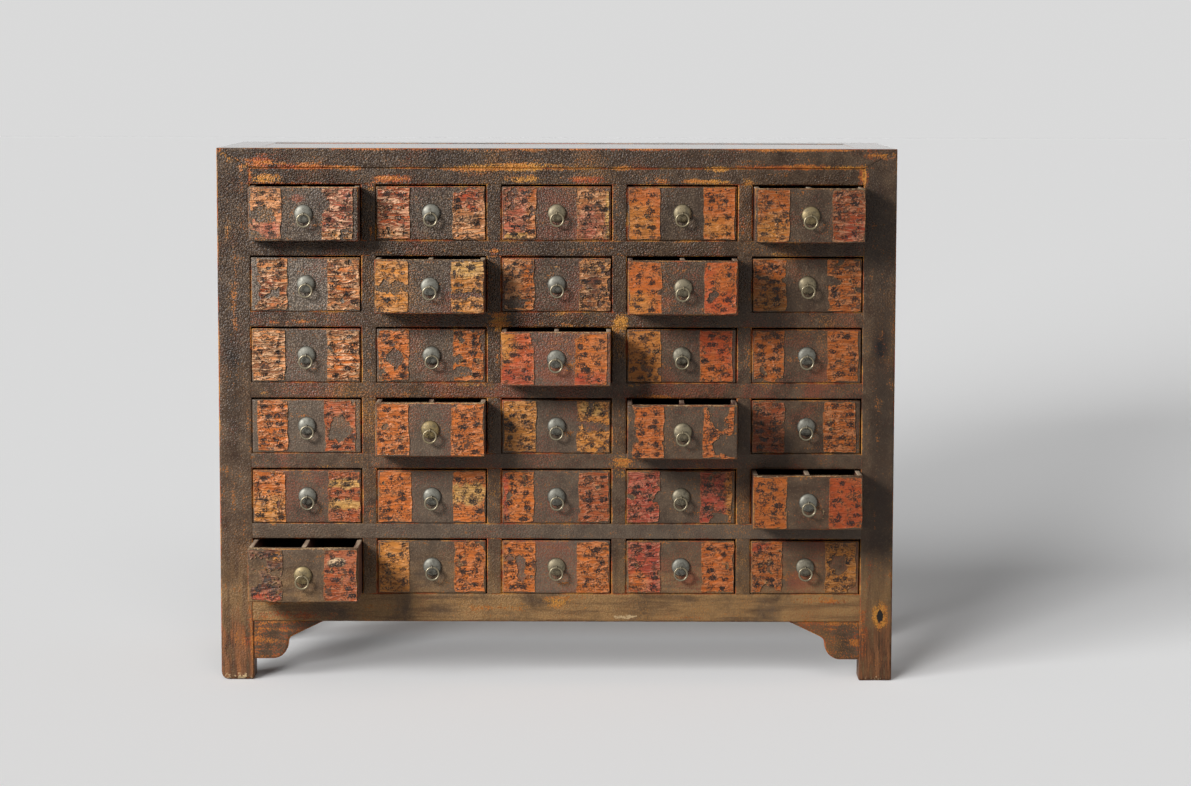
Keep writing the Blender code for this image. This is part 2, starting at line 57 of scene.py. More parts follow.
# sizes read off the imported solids, metres
postLow, postHigh = boxOf("post_front_left")
frontY, backY = postLow[1], boxOf("post_back_left")[1][1]
halfWidth, chestHeight = -postLow[0], postHigh[2]
postWidth, postDepth = (postHigh - postLow)[:2]
halfOpen = halfWidth - postWidth
topUnder = heightSpan("top")[0]
backFace = boxOf("back_panel")[0][1]
railSpans = [heightSpan(f"drawer_rail_{row}") for row in range(1, 6)]
apronSpan, upperSpan = heightSpan("bottom_rail"), heightSpan("upper_rail")
stileMiddles = [float(np.mean([end[0] for end in boxOf(f"partition_{n}")])) for n in range(1, 5)]


# node helpers
class Flow:
    # a value on its way through a node tree; sums with it become math nodes
    def __init__(self, tree, socket):
        self.tree, self.socket = tree, socket

    def __add__(self, other):
        return figure("ADD", self, other)

    def __sub__(self, other):
        return figure("SUBTRACT", self, other)

    def __rsub__(self, other):
        return self * -1.0 + other

    def __mul__(self, other):
        return figure("MULTIPLY", self, other)


def feed(node, inputs):
    for key, value in inputs.items():
        if isinstance(value, Flow):
            value.tree.links.new(value.socket, node.inputs[key])
        else:
            node.inputs[key].default_value = value


def addNode(tree, kind, inputs=None, **settings):
    made = tree.nodes.new(kind)
    for name, value in settings.items():
        setattr(made, name, value)
    feed(made, inputs or {})
    return made


def flow(tree, kind, inputs=None, output=0, **settings):
    return Flow(tree, addNode(tree, kind, inputs, **settings).outputs[output])


def figure(operation, first, second=0.0):
    return flow(first.tree, "ShaderNodeMath", {0: first, 1: second}, operation=operation)


def parted(place):
    made = addNode(place.tree, "ShaderNodeSeparateXYZ", {0: place})
    return [Flow(place.tree, socket) for socket in made.outputs]


def emptyTree(owner):
    owner.use_nodes = True
    owner.node_tree.nodes.clear()
    return owner.node_tree


def tone(red, green, blue):
    # screen numbers to the linear colour a socket takes
    screen = [value / 255 for value in (red, green, blue)]
    return (*(v / 12.92 if v <= 0.04 else ((v + 0.055) / 1.055) ** 2.4 for v in screen), 1.0)


# camera and studio
studio = {
    "lens": 95.15,
    "distance": 5.562,
    "sideways": 0.069,
    "eyeHeight": 1.105,
    "lookDown": 6.02,
    "roll": 0.12,
    "aim": (0.0, 0.0, 0.46),
    "softboxes": {  # place, size, power
        "keySoftbox": ((-2.75, -2.30, 2.20), 1.3, 200),
        "rearSoftbox": ((2.6, 3.6, 2.6), 2.2, 110),
    },
    "floorSuns": {  # degrees to the left, degrees up, softness, strength
        "lowSun": (24, 5, 18, 9.7),
        "midSun": (46, 20, 34, 2.6),
        "frontSun": (-6, 36, 30, 0.50),
    },
    "skyFill": 0.155,
    "paperTone": 0.697,
    "floorAlbedo": 0.853,
    "bounceAlbedo": 0.30,
    "floorReach": 40.0,
}
chestLit, floorLit = (bpy.data.collections.new(name) for name in ("chestLit", "floorLit"))


def setCamera():
    view = bpy.data.cameras.new("photoView")
    view.sensor_width, view.lens, view.clip_end = 36.0, studio["lens"], 100.0
    holder = bpy.data.objects.new("photoView", view)
    bpy.context.collection.objects.link(holder)
    holder.matrix_world = (
        Matrix.Translation((studio["sideways"], frontY - studio["distance"], studio["eyeHeight"]))
        @ Matrix.Rotation(math.radians(90 - studio["lookDown"]), 4, "X")
        @ Matrix.Rotation(math.radians(studio["roll"]), 4, "Z")
    )
    bpy.context.scene.camera = holder


def addLamp(name, kind, place, away, lit):
    lamp = bpy.data.lights.new(name, kind)
    holder = bpy.data.objects.new(name, lamp)
    holder.location = place
    holder.rotation_euler = Vector(away).to_track_quat("Z", "Y").to_euler()
    holder.visible_camera = False
    bpy.context.collection.objects.link(holder)
    holder.light_linking.receiver_collection = lit
    return lamp


def byView(tree, thrown, shown):
    # the first value for light the paper throws back, the second where the paper itself shows
    seen = addNode(tree, "ShaderNodeLightPath").outputs
    looked = Flow(tree, seen["Is Camera Ray"])
    for kind in ("Is Glossy Ray", "Is Transmission Ray"):
        looked = figure("MAXIMUM", looked, Flow(tree, seen[kind]))
    return flow(tree, "ShaderNodeMapRange", {0: looked, 3: thrown, 4: shown})


def setLights():
    # the two softboxes light the chest, and the suns only draw its shadow on the floor
    for name, (place, size, power) in studio["softboxes"].items():
        lamp = addLamp(name, "AREA", place, Vector(place) - Vector(studio["aim"]), chestLit)
        lamp.shape, lamp.size, lamp.energy = "DISK", size, power
    for name, (left, up, softness, strength) in studio["floorSuns"].items():
        left, up = math.radians(left), math.radians(up)
        toSun = (-math.sin(left) * math.cos(up), -math.cos(left) * math.cos(up), math.sin(up))
        lamp = addLamp(name, "SUN", (0, 0, 3), toSun, floorLit)
        lamp.energy, lamp.angle = strength, math.radians(softness)
    world = bpy.data.worlds.new("studioSky")
    bpy.context.scene.world = world
    tree = emptyTree(world)
    strength = byView(tree, studio["skyFill"], studio["paperTone"])
    sky = flow(tree, "ShaderNodeBackground", {0: (1, 1, 1, 1), 1: strength})
    addNode(tree, "ShaderNodeOutputWorld", {0: sky})


def setFloor():
    reach = studio["floorReach"]
    corners = [(-reach, -reach, 0), (reach, -reach, 0), (reach, reach, 0), (-reach, reach, 0)]
    mesh = bpy.data.meshes.new("studioFloor")
    mesh.from_pydata(corners, [], [(0, 1, 2, 3)])
    floor = bpy.data.objects.new("studioFloor", mesh)
    bpy.context.collection.objects.link(floor)
    paper = bpy.data.materials.new("studioPaper")
    tree = emptyTree(paper)
    albedo = byView(tree, studio["bounceAlbedo"], studio["floorAlbedo"])
    addNode(tree, "ShaderNodeOutputMaterial", {0: flow(tree, "ShaderNodeBsdfDiffuse", {0: albedo})})
    mesh.materials.append(paper)
    floorLit.objects.link(floor)


setCamera()
setLights()
setFloor()
print("studio: camera, floor,", len(studio["softboxes"]), "softboxes,", len(studio["floorSuns"]), "floor suns")


# helpers for the finishes
def newFinish(name):
    finish = bpy.data.materials.new(name)
    tree = emptyTree(finish)
    shader = addNode(tree, "ShaderNodeBsdfPrincipled")
    addNode(tree, "ShaderNodeOutputMaterial", {0: Flow(tree, shader.outputs[0])})
    return finish, tree, shader, flow(tree, "ShaderNodeTexCoord", output="Object")


def mark(tree, name, output="Fac"):
    return flow(tree, "ShaderNodeAttribute", output=output, attribute_name=name)


def stretched(place, amounts):
    return flow(place.tree, "ShaderNodeVectorMath", {0: place, 1: amounts}, operation="MULTIPLY")


def speckle(place, scale, detail=3.0, roughness=0.55, twist=0.0):
    inputs = {"Vector": place, "Scale": scale, "Detail": detail, "Roughness": roughness, "Distortion": twist}
    return flow(place.tree, "ShaderNodeTexNoise", inputs, "Fac")


def ease(value, low, high, top=1.0):
    inputs = {0: value, 1: low, 2: high, 3: 0.0, 4: top}
    return flow(value.tree, "ShaderNodeMapRange", inputs, interpolation_type="SMOOTHSTEP")


def over(amount, under, upper):
    return flow(amount.tree, "ShaderNodeMix", {0: amount, 6: under, 7: upper}, 2, data_type="RGBA")


def ragged(amount, *breakups, soft=0.07, level=0.53):
    # a soft painted mark plus noise, cut to a torn edge
    for noise, weight in breakups:
        amount = (noise - 0.5) * weight + amount
    return ease(amount, level - soft, level + soft)


def bump(height, distance, strength=1.0):
    inputs = {"Strength": strength, "Distance": distance, "Height": height}
    return flow(height.tree, "ShaderNodeBump", inputs)


lacquerTones = {
    "deep": tone(38, 26, 17),
    "brown": tone(70, 49, 34),
    "grey": tone(108, 88, 69),
    "light": tone(148, 126, 100),
    "ashAndSheen": tone(138, 125, 111),
    "warm": tone(110, 70, 53),
    "straw": tone(126, 93, 59),
    "olive": tone(180, 138, 88),
    "haze": tone(136, 96, 60),
    "brick": tone(140, 76, 54),
    "rust": tone(176, 82, 40),
    "ochre": tone(210, 144, 62),
    "stain": tone(32, 25, 21),
    "char": tone(22, 17, 14),
    "woodDark": tone(66, 40, 27),
    "woodLight": tone(136, 91, 59),
    "woodWarm": tone(154, 98, 58),
    "chip": tone(200, 170, 128),
}


def lacquer(name, grain, gloss, swell, coat=0.0, faded=0.85, rub=0.0023):
    finish, tree, shader, place = newFinish(name)
    tones = lacquerTones
    drift = speckle(place, 5.5, 3)
    cloud = speckle(place, 34, 4, 0.6)
    patch = speckle(place, 14, 5, 0.62, 0.4)
    crumb = speckle(place, 260, 3, 0.62)
    fleck = speckle(stretched(place, (1.0, 1.0, 0.8)), 420, 2, 0.6)
    streak = speckle(stretched(place, grain), 1.0, 5, 0.6, 0.3)
    fine = speckle(stretched(place, [g * 2.8 for g in grain]), 1.0, 4, 0.65, 0.4)
    wavy = flow(tree, "ShaderNodeTexNoise", {"Vector": place, "Scale": 220.0, "Detail": 1.0}, "Color")
    bent = flow(tree, "ShaderNodeVectorMath", {0: wavy, 1: [0.0026] * 3, 2: place}, operation="MULTIPLY_ADD")
    cells = {"Vector": bent, "Scale": 370.0, "Smoothness": 0.35}
    pimple = flow(tree, "ShaderNodeTexVoronoi", cells, "Distance", feature="SMOOTH_F1")
    # brown in drifts, grey in clouds, warm in patches, bleached along the grain near the floor
    skin = over(ease(drift, 0.20, 0.58), tones["deep"], tones["brown"])
    skin = over(ease(cloud, 0.24, 0.74, 0.85), skin, tones["grey"])
    heat = (patch - 0.5) * 1.6 + mark(tree, "warm")
    skin = over(ease(heat, 0.20, 0.75, 0.8), skin, tones["warm"])
    across, _, height = parted(place)
    streaky = over(ease(streak, 0.34, 0.58), tones["straw"], tones["olive"])
    skin = over(ease(height, 0.27, 0.14) * ease(patch, 0.26, 0.58, faded), skin, streaky)
    skin = over(ease(patch + drift, 1.04, 1.28, 0.35), skin, tones["haze"])
    # the pale mark: painted sheen on the fronts, paler towards the left where the light falls, and the own grey
    # tone of some fronts and the lower rails
    skin = over(mark(tree, "pale"), skin, tones["ashAndSheen"])
    # pimples, flatter low down and to the right, with painted shade darkening the pits between them and painted
    # highlights (bump glints) on their tops
    relief = (ease(height, 0.36, 0.80, 0.62) + 0.38) * (1.0 - ease(across, -0.15, 0.50, 0.5))
    skin = over(relief * ease(pimple, 0.31, 0.58, 0.76), skin, tones["deep"])
    bumpGlints = ease(pimple * -0.5 + crumb, 0.34, 0.50, 0.42)
    skin = over(bumpGlints * (relief * 0.6 + 0.4), skin, tones["light"])
    skin = over(ease(heat * 0.45 + fleck, 0.62, 0.80, 0.6), skin, tones["brick"])
    skin = over(ease(fleck + drift, 1.16, 1.30, 0.3), skin, tones["ochre"])
    # dark stains, and painted shadow on the rails under open drawers
    skin = over(mark(tree, "stain") * ease(cloud, 0.26, 0.56, 1.3), skin, tones["stain"])
    # orange undercoat along the handled edges
    reach = ease(patch, 0.32, 0.62, rub) * (crumb * 2.4 - 0.25)
    rubbed = ease(reach - mark(tree, "edge"), -0.0002, 0.0008)
    under = over(ease(cloud, 0.40, 0.62), tones["rust"], tones["ochre"])
    under = over(ease(crumb, 0.50, 0.68, 0.45), under, tones["brown"])
    skin = over(rubbed * 0.85, skin, under)
    # bare wood, then the painted marks
    bareWood = over(ease(streak, 0.36, 0.66), tones["woodDark"], tones["woodLight"])
    bareWood = over(ease(fine, 0.50, 0.66, 0.7), bareWood, tones["woodWarm"])
    bareWood = over(ease(fine, 0.48, 0.34, 0.8), bareWood, tones["deep"])
    bareWood = over(ease(crumb, 0.56, 0.72, 0.6), bareWood, tones["deep"])
    bare = mark(tree, "bare")
    skin = over(ragged(bare, (streak, 1.4), (fine, 0.8), (cloud, 0.7), soft=0.12), skin, bareWood)
    for key, other in (("rust", "ochre"), ("ochre", "rust")):
        shade = over(ease(streak, 0.46, 0.62, 0.5), tones[key], tones[other])
        shade = over(ease(crumb, 0.47, 0.64, 0.62), shade, tones["brown"])
        breakups = (fleck, 1.5), (crumb, 1.5), (streak, 1.7), (cloud, 1.3)
        skin = over(ragged(mark(tree, key), *breakups, soft=0.16), skin, shade)
    skin = over(ragged(mark(tree, "dark"), (cloud, 1.0), (crumb, 0.6), (streak, 0.7)), skin, tones["char"])
    skin = over(ragged(mark(tree, "chip"), (crumb, 1.2), (streak, 0.9)), skin, tones["chip"])
    dull = figure("MAXIMUM", rubbed, bare) * 0.2 + (cloud * 0.30 + (gloss - 0.15))
    rise = (crumb * 0.55 + (1.0 - pimple)) * (ease(patch, 0.32, 0.60, 0.55) + 0.45)
    feed(shader, {
        "Base Color": skin,
        "Roughness": dull,
        "Coat Weight": coat,
        "Coat Roughness": 0.12,
        "Specular IOR Level": 0.5 if coat else 0.29,
        "Normal": bump(rubbed * -0.4 + rise * relief, swell),
    })
    return finish


def plainWood(name, grain, darkTone, lightTone, dull):
    finish, tree, shader, place = newFinish(name)
    streak = speckle(stretched(place, grain), 1.0, 5, 0.62, 0.5)
    ring = speckle(stretched(place, [g * 0.22 for g in grain]), 1.0, 3, 0.5, 1.2)
    dirt = speckle(place, 22, 4, 0.6)
    wood = over(ease(streak, 0.34, 0.66), darkTone, lightTone)
    wood = over(ease(ring, 0.52, 0.60, 0.35), wood, darkTone)
    wood = over(ease(dirt, 0.52, 0.72, 0.6), wood, tone(38, 26, 20))
    worn = ease(mark(tree, "edge"), 0.0026, 0.0002, 0.8) * ease(streak, 0.35, 0.6)
    wood = over(worn, wood, tone(196, 178, 152))
    roughness = streak * 0.25 + (dull - 0.12)
    feed(shader, {"Base Color": wood, "Roughness": roughness, "Normal": bump(streak, 0.0004, 0.6)})
    return finish


paperTones = {
    "wash": tone(202, 128, 62), "fibre": tone(112, 54, 28), "gather": tone(82, 42, 28),
    "fold": tone(238, 204, 164), "grime": tone(60, 41, 31), "worn": tone(74, 60, 52),
    "ink": tone(25, 18, 15), "rim": tone(212, 164, 110),
}


def labelPaper(name):
    finish, tree, shader, place = newFinish(name)
    tones = paperTones
    worn, ink, crease = (mark(tree, key) for key in ("worn", "ink", "crease"))
    cloud = speckle(place, 60, 4, 0.62)
    fibre = speckle(stretched(place, (70.0, 70.0, 330.0)), 1.0, 4, 0.6, 0.5)
    crumb = speckle(place, 330, 3, 0.62)
    gather = speckle(stretched(place, (30.0, 30.0, 150.0)), 1.0, 2, 0.5, 0.8)
    fold = ease(figure("ABSOLUTE", gather - 0.5), 0.11, 0.0)
    sheet = over(ease(cloud, 0.44, 0.72, 0.36), mark(tree, "tint", "Color"), tones["wash"])
    sheet = over(ease(fibre, 0.50, 0.70, 0.5), sheet, tones["fibre"])
    # painted light on the wrinkles: painted shade in the troughs on one side, painted highlight along the ridges
    sheet = over(ease(gather, 0.52, 0.64) * crease * 0.7, sheet, tones["gather"])
    sheet = over(fold * (crease * 0.55), sheet, tones["fold"])
    sheet = over(ease(worn * 0.35 + (crumb + cloud), 1.07, 1.22, 0.85), sheet, tones["grime"])
    sheet = over(ragged(worn, (cloud, 1.3), (crumb, 0.8)), sheet, tones["worn"])
    # worn ink left in a few places as ragged blots
    blot = speckle(stretched(place, (1.0, 1.0, 0.75)), 400, 3, 0.6, 1.0)
    left = (crumb - 0.5) * 0.7 + ((blot - 0.5) * 2.3 + ink)
    sheet = over(ease(left, 0.58, 0.70, 0.92), sheet, tones["ink"])
    # a pale rim along the label edges: pale paper at the edge, partly a painted highlight on the lifted edge
    rim = ease(mark(tree, "edge"), 0.0014, 0.0002, 0.5) * ease(crumb, 0.45, 0.6)
    feed(shader, {
        "Base Color": over(rim, sheet, tones["rim"]),
        "Specular IOR Level": 0.35,
        "Roughness": crease * -0.16 + (cloud * 0.40 + 0.30),
        "Normal": bump(crumb * 0.3 + fold * (crease * 1.5 + 0.2), 0.0016),
    })
    return finish


metalTones = {
    "iron": tone(122, 123, 117), "brass": tone(148, 126, 80), "tarnish": tone(74, 69, 60),
    "pit": tone(44, 40, 33), "wire": tone(142, 130, 104), "bossShade": tone(30, 26, 22),
}


def pullMetal(name):
    finish, tree, shader, place = newFinish(name)
    tones = metalTones
    wire = mark(tree, "wire")
    cloud = speckle(place, 120, 4, 0.6)
    crumb = speckle(place, 700, 3, 0.6)
    metal = over(mark(tree, "brassy"), tones["iron"], tones["brass"])
    metal = over(ease(cloud, 0.44, 0.68, 0.6), metal, tones["tarnish"])
    metal = over(ease(crumb, 0.56, 0.74, 0.5), metal, tones["pit"])
    metal = over(wire * 0.75, metal, tones["wire"])
    feed(shader, {
        # painted shade on the boss under the eye and round its rim
        "Base Color": over(mark(tree, "bossShade"), metal, tones["bossShade"]),
        "Metallic": 0.6,
        "Roughness": wire * -0.22 + (cloud * 0.30 + 0.40),
        "Normal": bump(cloud + crumb, 0.0003, 0.5),
    })
    return finish


# each lacquer: how fine the grain is along x, y and z, dullness, height of the pimples
postLacquer = lacquer("postLacquer", (80.0, 80.0, 7.0), 0.39, 0.0024, faded=0.5)
railLacquer = lacquer("railLacquer", (8.0, 80.0, 90.0), 0.39, 0.0023, rub=0.0016)
topLacquer = lacquer("topLacquer", (8.0, 80.0, 90.0), 0.30, 0.0002, 0.9, rub=0.0012)
bracketLacquer = lacquer("bracketLacquer", (10.0, 80.0, 90.0), 0.42, 0.0012, faded=0.1)
frontLacquer = lacquer("frontLacquer", (14.0, 90.0, 90.0), 0.41, 0.0019, faded=0.7, rub=0.0016)
innerWood = plainWood("innerWood", (60.0, 5.0, 60.0), tone(66, 36, 26), tone(112, 70, 48), 0.7)
backWood = plainWood("backWood", (60.0, 60.0, 4.0), tone(78, 54, 40), tone(134, 100, 74), 0.75)
shelfWood = plainWood("shelfWood", (5.0, 50.0, 50.0), tone(58, 36, 28), tone(96, 64, 46), 0.75)
paperFinish = labelPaper("labelPaper")
metalFinish = pullMetal("pullMetal")
print("finishes:", len(bpy.data.materials))


# mesh helpers: every part is a dictionary of points, faces and painted marks
def mottle(points, scale, seed=0):
    # smooth value noise, 0 to 1
    spot = points * np.asarray(scale) + seed * 13.37
    cell = np.floor(spot).astype(np.int64)
    part = spot - cell
    part = part * part * (3 - 2 * part)
    total = np.zeros(len(points))
    for corner in range(8):
        step = np.array([corner & 1, corner >> 1 & 1, corner >> 2 & 1])
        at = cell + step
        mixed = (at[:, 0] * 73856093) ^ (at[:, 1] * 19349663) ^ (at[:, 2] * 83492791) ^ (seed * 26544357)
        mixed = ((mixed ^ (mixed >> 13)) * 1274126177) & 0x7FFFFFFF
        value = ((mixed ^ (mixed >> 15)) & 0xFFFF) / 65535.0
        total += value * np.prod(np.where(step, part, 1 - part), axis=1)
    return total


def layered(points, scale, seed=0, layers=3):
    total, weight = np.zeros(len(points)), 0.0
    for layer in range(layers):
        total += mottle(points, np.asarray(scale) * 2**layer, seed + layer * 7) / 2**layer
        weight += 1 / 2**layer
    return total / weight


def weld(points, scale):
    # points that share a cell of a fine grid become one: the kept indices, and where each point went
    cells, back = np.unique(np.round(points * scale).astype(np.int64), axis=0, return_inverse=True)
    back = back.reshape(-1)
    kept = np.zeros(len(cells), int)
    kept[back] = np.arange(len(back))
    return kept, back


# how uneven the rounded edges are, and the finer row beside the edges of coarse boards
boardLook = {"wobble": 0.7, "coarse": 0.008, "edgeRow": 0.003}


def board(low, high, radius, step, seed=1, shape=None, finish=0):
    # a closed board of small quads with unevenly rounded edges
    low, high = np.array(low, float), np.array(high, float)
    radius = min(radius, float(min(high - low)) * 0.3)
    ticks = []
    for start, end in zip(low, high):
        count = max(1, int(round((end - start - 2 * radius) / step)))
        inner = np.linspace(start + radius, end - radius, count + 1)
        if inner[1] - inner[0] > boardLook["coarse"]:
            near, far = inner[0] + boardLook["edgeRow"], inner[-1] - boardLook["edgeRow"]
            inner = np.concatenate([inner[:1], [near], inner[1:-1], [far], inner[-1:]])
        ticks.append(np.concatenate([[start, start + 0.3 * radius], inner, [end - 0.3 * radius, end]]))
    points, quads, base = [], [], 0
    for axis in range(3):
        a, b = (axis + 1) % 3, (axis + 2) % 3
        rows, columns = len(ticks[a]), len(ticks[b])
        u, v = np.meshgrid(ticks[a], ticks[b], indexing="ij")
        index = np.arange(rows * columns).reshape(rows, columns)
        around = index[:-1, :-1], index[1:, :-1], index[1:, 1:], index[:-1, 1:]
        loop = np.stack(around, axis=-1).reshape(-1, 4)
        for end in (low, high):
            face = np.empty((rows * columns, 3))
            face[:, a], face[:, b], face[:, axis] = u.ravel(), v.ravel(), end[axis]
            points.append(face)
            quads.append((loop if end is high else loop[:, ::-1]) + base)
            base += rows * columns
    points = np.concatenate(points)
    kept, back = weld(points, 1e7)
    points, faces = points[kept], back[np.concatenate(quads)].tolist()
    edge = np.sort(np.minimum(points - low, high - points), axis=1)[:, 1]
    uneven = 1 + boardLook["wobble"] * (layered(points, 45, seed, 2) - 0.5)
    local = radius * uneven[:, None]
    core = np.clip(points, low + local, high - local)
    away = points - core
    length = np.linalg.norm(away, axis=1, keepdims=True)
    points = core + away / np.maximum(length, 1e-9) * local
    if shape:
        # points that the cut has brought together are dropped
        shape(points)
        kept, back = weld(points, 1e6)
        points, edge = points[kept], edge[kept]
        loops = back[np.array(faces)].tolist()
        loops = [[corner for n, corner in enumerate(loop) if corner != loop[n - 1]] for loop in loops]
        faces = [loop for loop in loops if len(set(loop)) > 2]
    return {"points": points, "faces": faces, "edge": edge, "finish": finish}


scalarMarks = "edge ochre rust dark bare chip warm pale stain ink worn crease".split()


def makePiece(name, parts, finishes, body, slot, *nodes):
    faces, finishIndex, base = [], [], 0
    for part in parts:
        faces += [[corner + base for corner in face] for face in part["faces"]]
        finishIndex += np.broadcast_to(part["finish"], len(part["faces"])).tolist()
        base += len(part["points"])
    mesh = bpy.data.meshes.new(name)
    mesh.from_pydata(np.concatenate([part["points"] for part in parts]).tolist(), [], faces)
    for finish in finishes:
        mesh.materials.append(finish)
    mesh.polygons.foreach_set("material_index", finishIndex)
    for key in scalarMarks:
        if any(key in part for part in parts):
            values = [np.broadcast_to(part.get(key, 0.0), len(part["points"])) for part in parts]
            values = np.concatenate(values).astype(np.float32)
            mesh.attributes.new(key, "FLOAT", "POINT").data.foreach_set("value", values)
    if any("tint" in part for part in parts):
        values = [part.get("tint", np.ones((len(part["points"]), 4))) for part in parts]
        values = np.concatenate(values).astype(np.float32).ravel()
        mesh.attributes.new("tint", "FLOAT_COLOR", "POINT").data.foreach_set("color", values)
    mesh.validate()
    mesh.shade_smooth()
    mesh.set_sharp_from_angle(angle=math.radians(40))
    ridePiece(name, mesh, body, slot, *nodes)


def ridePiece(name, mesh, body, slot, *nodes):
    piece = bpy.data.objects.new(name, mesh)
    bpy.context.collection.objects.link(piece)
    chestLit.objects.link(piece)
    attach(piece, body)
    if nodes:
        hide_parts(*nodes)


def casePiece(name, node, parts, finishes, slot="case_lacquer"):
    makePiece(name, parts, finishes, "carcase", slot, node)


# marks on the face of the case: x, z, half width and half height in millimetres, strength
caseMarks = {
    "rust": [
        (-522, 928, 26, 13, 1.3), (-542, 902, 4, 16, 1.1), (-286, 897, 30, 8, 1.3),
        (-595, 948, 6, 5, 1.0), (432, 919, 113, 4, 1.3), (541, 903, 8, 18, 1.35), (571, 941, 27, 9, 1.05),
        (-110, 768, 8, 7, 1.15), (485, 144, 40, 8, 0.75), (-442, 889, 95, 3, 1.1),
        (-460, 118, 70, 8, 0.95), (-550, 80, 12, 40, 0.85), (550, 90, 10, 50, 0.75),
        (560, 200, 6, 50, 0.65), (-331, 884, 11, 6, 0.8), (59, 896, 36, 6, 1.3),
        (-449, 918.5, 65, 5, 1.35), (-365, 916, 18, 5, 0.9), (329, 817, 5, 19, 0.7),
        (-571, 643, 8, 22, 0.72), (-487, 644, 57, 5, 0.7), (171, 511, 48, 3, 0.95),
        (575, 600, 10, 26, 0.55), (182, 894, 14, 3, 0.8), (-300, 950, 120, 3, 0.95),
        (100, 950, 240, 3.6, 1.0), (420, 950, 180, 3.6, 1.0), (360, 385, 20, 6, 0.7),
        (-340, 310, 12, 20, 0.7),
    ],
    "ochre": [
        (-511, 898, 25, 7, 1.3), (-76, 918, 105, 7.2, 1.5), (112, 917.5, 24, 4, 1.1),
        (113, 644, 13, 14, 1.8), (115, 385, 18, 22, 1.0), (-103, 640, 19, 18, 1.25),
        (579, 119, 13, 21, 1.6), (2, 141, 24, 10, 1.2), (-331, 880, 10, 5, 0.8), (-50, 132, 100, 6, 0.6),
        (-588, 943, 12, 6, 0.75), (-570, 932, 12, 7, 0.8), (-554, 920, 10, 7, 0.8),
        (-575, 655, 10, 50, 0.55), (285, 916, 26, 5, 1.3), (-580, 800, 12, 30, 0.5),
        (-59, 897, 31, 6, 1.25), (268, 893.5, 42, 4, 1.35), (500, 919, 45, 3.5, 1.25),
        (543, 904, 4, 18, 1.4), (574, 941, 22, 7, 1.0), (335, 893, 10, 7, 1.1), (406, 765.5, 33, 3, 1.0),
        (-517, 514.5, 22, 4, 1.15), (43, 636.5, 28, 4, 1.05), (-160, 532, 65, 3, 0.85),
        (136, 532, 12, 3, 1.0), (-11, 660, 109, 2.5, 0.75), (-410, 385.5, 20, 3.5, 1.0),
        (450, 284.5, 30, 3, 0.8),
    ],
    "dark": [
        (574, 598, 9, 30, 0.95), (-583, 595, 6, 18, 0.95), (579, 119, 6, 11, 1.5),
        (-590, 50, 8, 20, 0.75), (2, 141, 12, 4, 0.7),
    ],
    # dark stains, and painted shadows: the two wide spots on the rails under the open drawers of the second column,
    # at 640 and 385 mm
    "stain": [
        (-577, 590, 14, 34, 1.3), (-574, 520, 12, 60, 0.8), (575, 600, 13, 40, 1.4),
        (578, 500, 16, 280, 0.75), (560, 830, 16, 80, 0.7), (200, 935, 100, 12, 0.45),
        (-200, 936, 60, 10, 0.35), (-150, 640, 60, 14, 0.6), (-210, 385, 80, 12, 0.4),
    ],
    "chip": [
        (123, 116, 24, 4, 1.0), (-570, 6, 28, 8, 0.9), (570, 6, 28, 7, 0.7), (-581, 673, 4.5, 5, 0.8),
    ],
}


def spotMark(points, x, z, wide, tall, strength):
    # a worn spot that fades from its middle; places and half sizes in millimetres
    spread = np.hypot((points[:, 0] - x / 1000) / (wide / 1000), (points[:, 2] - z / 1000) / (tall / 1000))
    return 0.58 * strength * np.clip(1 - 0.42 * spread**2, 0, 1)


def paintCase(part, bareBelow=0.0):
    points = part["points"]
    ahead = np.clip(1 - (points[:, 1] - frontY - 0.002) / 0.004, 0, 1)
    for key, spots in caseMarks.items():
        part[key] = np.max([spotMark(points, *spot) for spot in spots], axis=0) * ahead
    if bareBelow:
        part["bare"] = np.clip((bareBelow - points[:, 2]) / 0.11, 0, 1) * 0.66
    return part


# posts with the mitred tops
posts = {
    "radius": 0.0022,
    "step": 0.004,
    "bareBelow": 0.19,
    "seam": 0.0004,
    "knockHeight": 0.012,
    "knockDepth": 0.005,
    "seeds": {"FrontLeft": 18, "FrontRight": 24, "BackLeft": 17, "BackRight": 23},
    "footRounds": {"FrontLeft": 0.016, "FrontRight": 0.005, "BackLeft": 0.004, "BackRight": 0.004},
}


def cornerRoof(points):
    # how far up the three-way mitre leaves wood, at each place in plan
    across = (halfWidth - np.abs(points[:, 0])) / postWidth
    inward = np.minimum(points[:, 1] - frontY, backY - points[:, 1]) / postDepth
    return chestHeight - (chestHeight - topUnder) * np.clip(np.maximum(across, inward), 0, 1)


def cutPost(points, low, high, side, seed, curve):
    points[:, 2] = np.minimum(points[:, 2], cornerRoof(points) - posts["seam"])
    # knocked corners and unevenly worn feet
    foot = np.clip(1 - points[:, 2] / posts["knockHeight"], 0, 1)
    out = np.abs(points[:, :2] - (low + high)[:2] / 2) / (np.array([postWidth, postDepth]) / 2)
    knock = np.clip(out.max(axis=1) - 0.72, 0, 1) / 0.28
    points[:, 2] += foot * knock**2 * posts["knockDepth"] * layered(points, 30, seed)
    # the outer bottom corner, worn round
    outer = low[0] + curve if side < 0 else high[0] - curve
    beyond = np.maximum((points[:, 0] - outer) * side, 0)
    below = np.maximum(curve - points[:, 2], 0)
    reach = np.maximum(np.hypot(beyond, below), 1e-9)
    pull = np.where(reach > curve, curve / reach, 1.0) - 1
    points[:, 0] += side * beyond * pull
    points[:, 2] -= below * pull


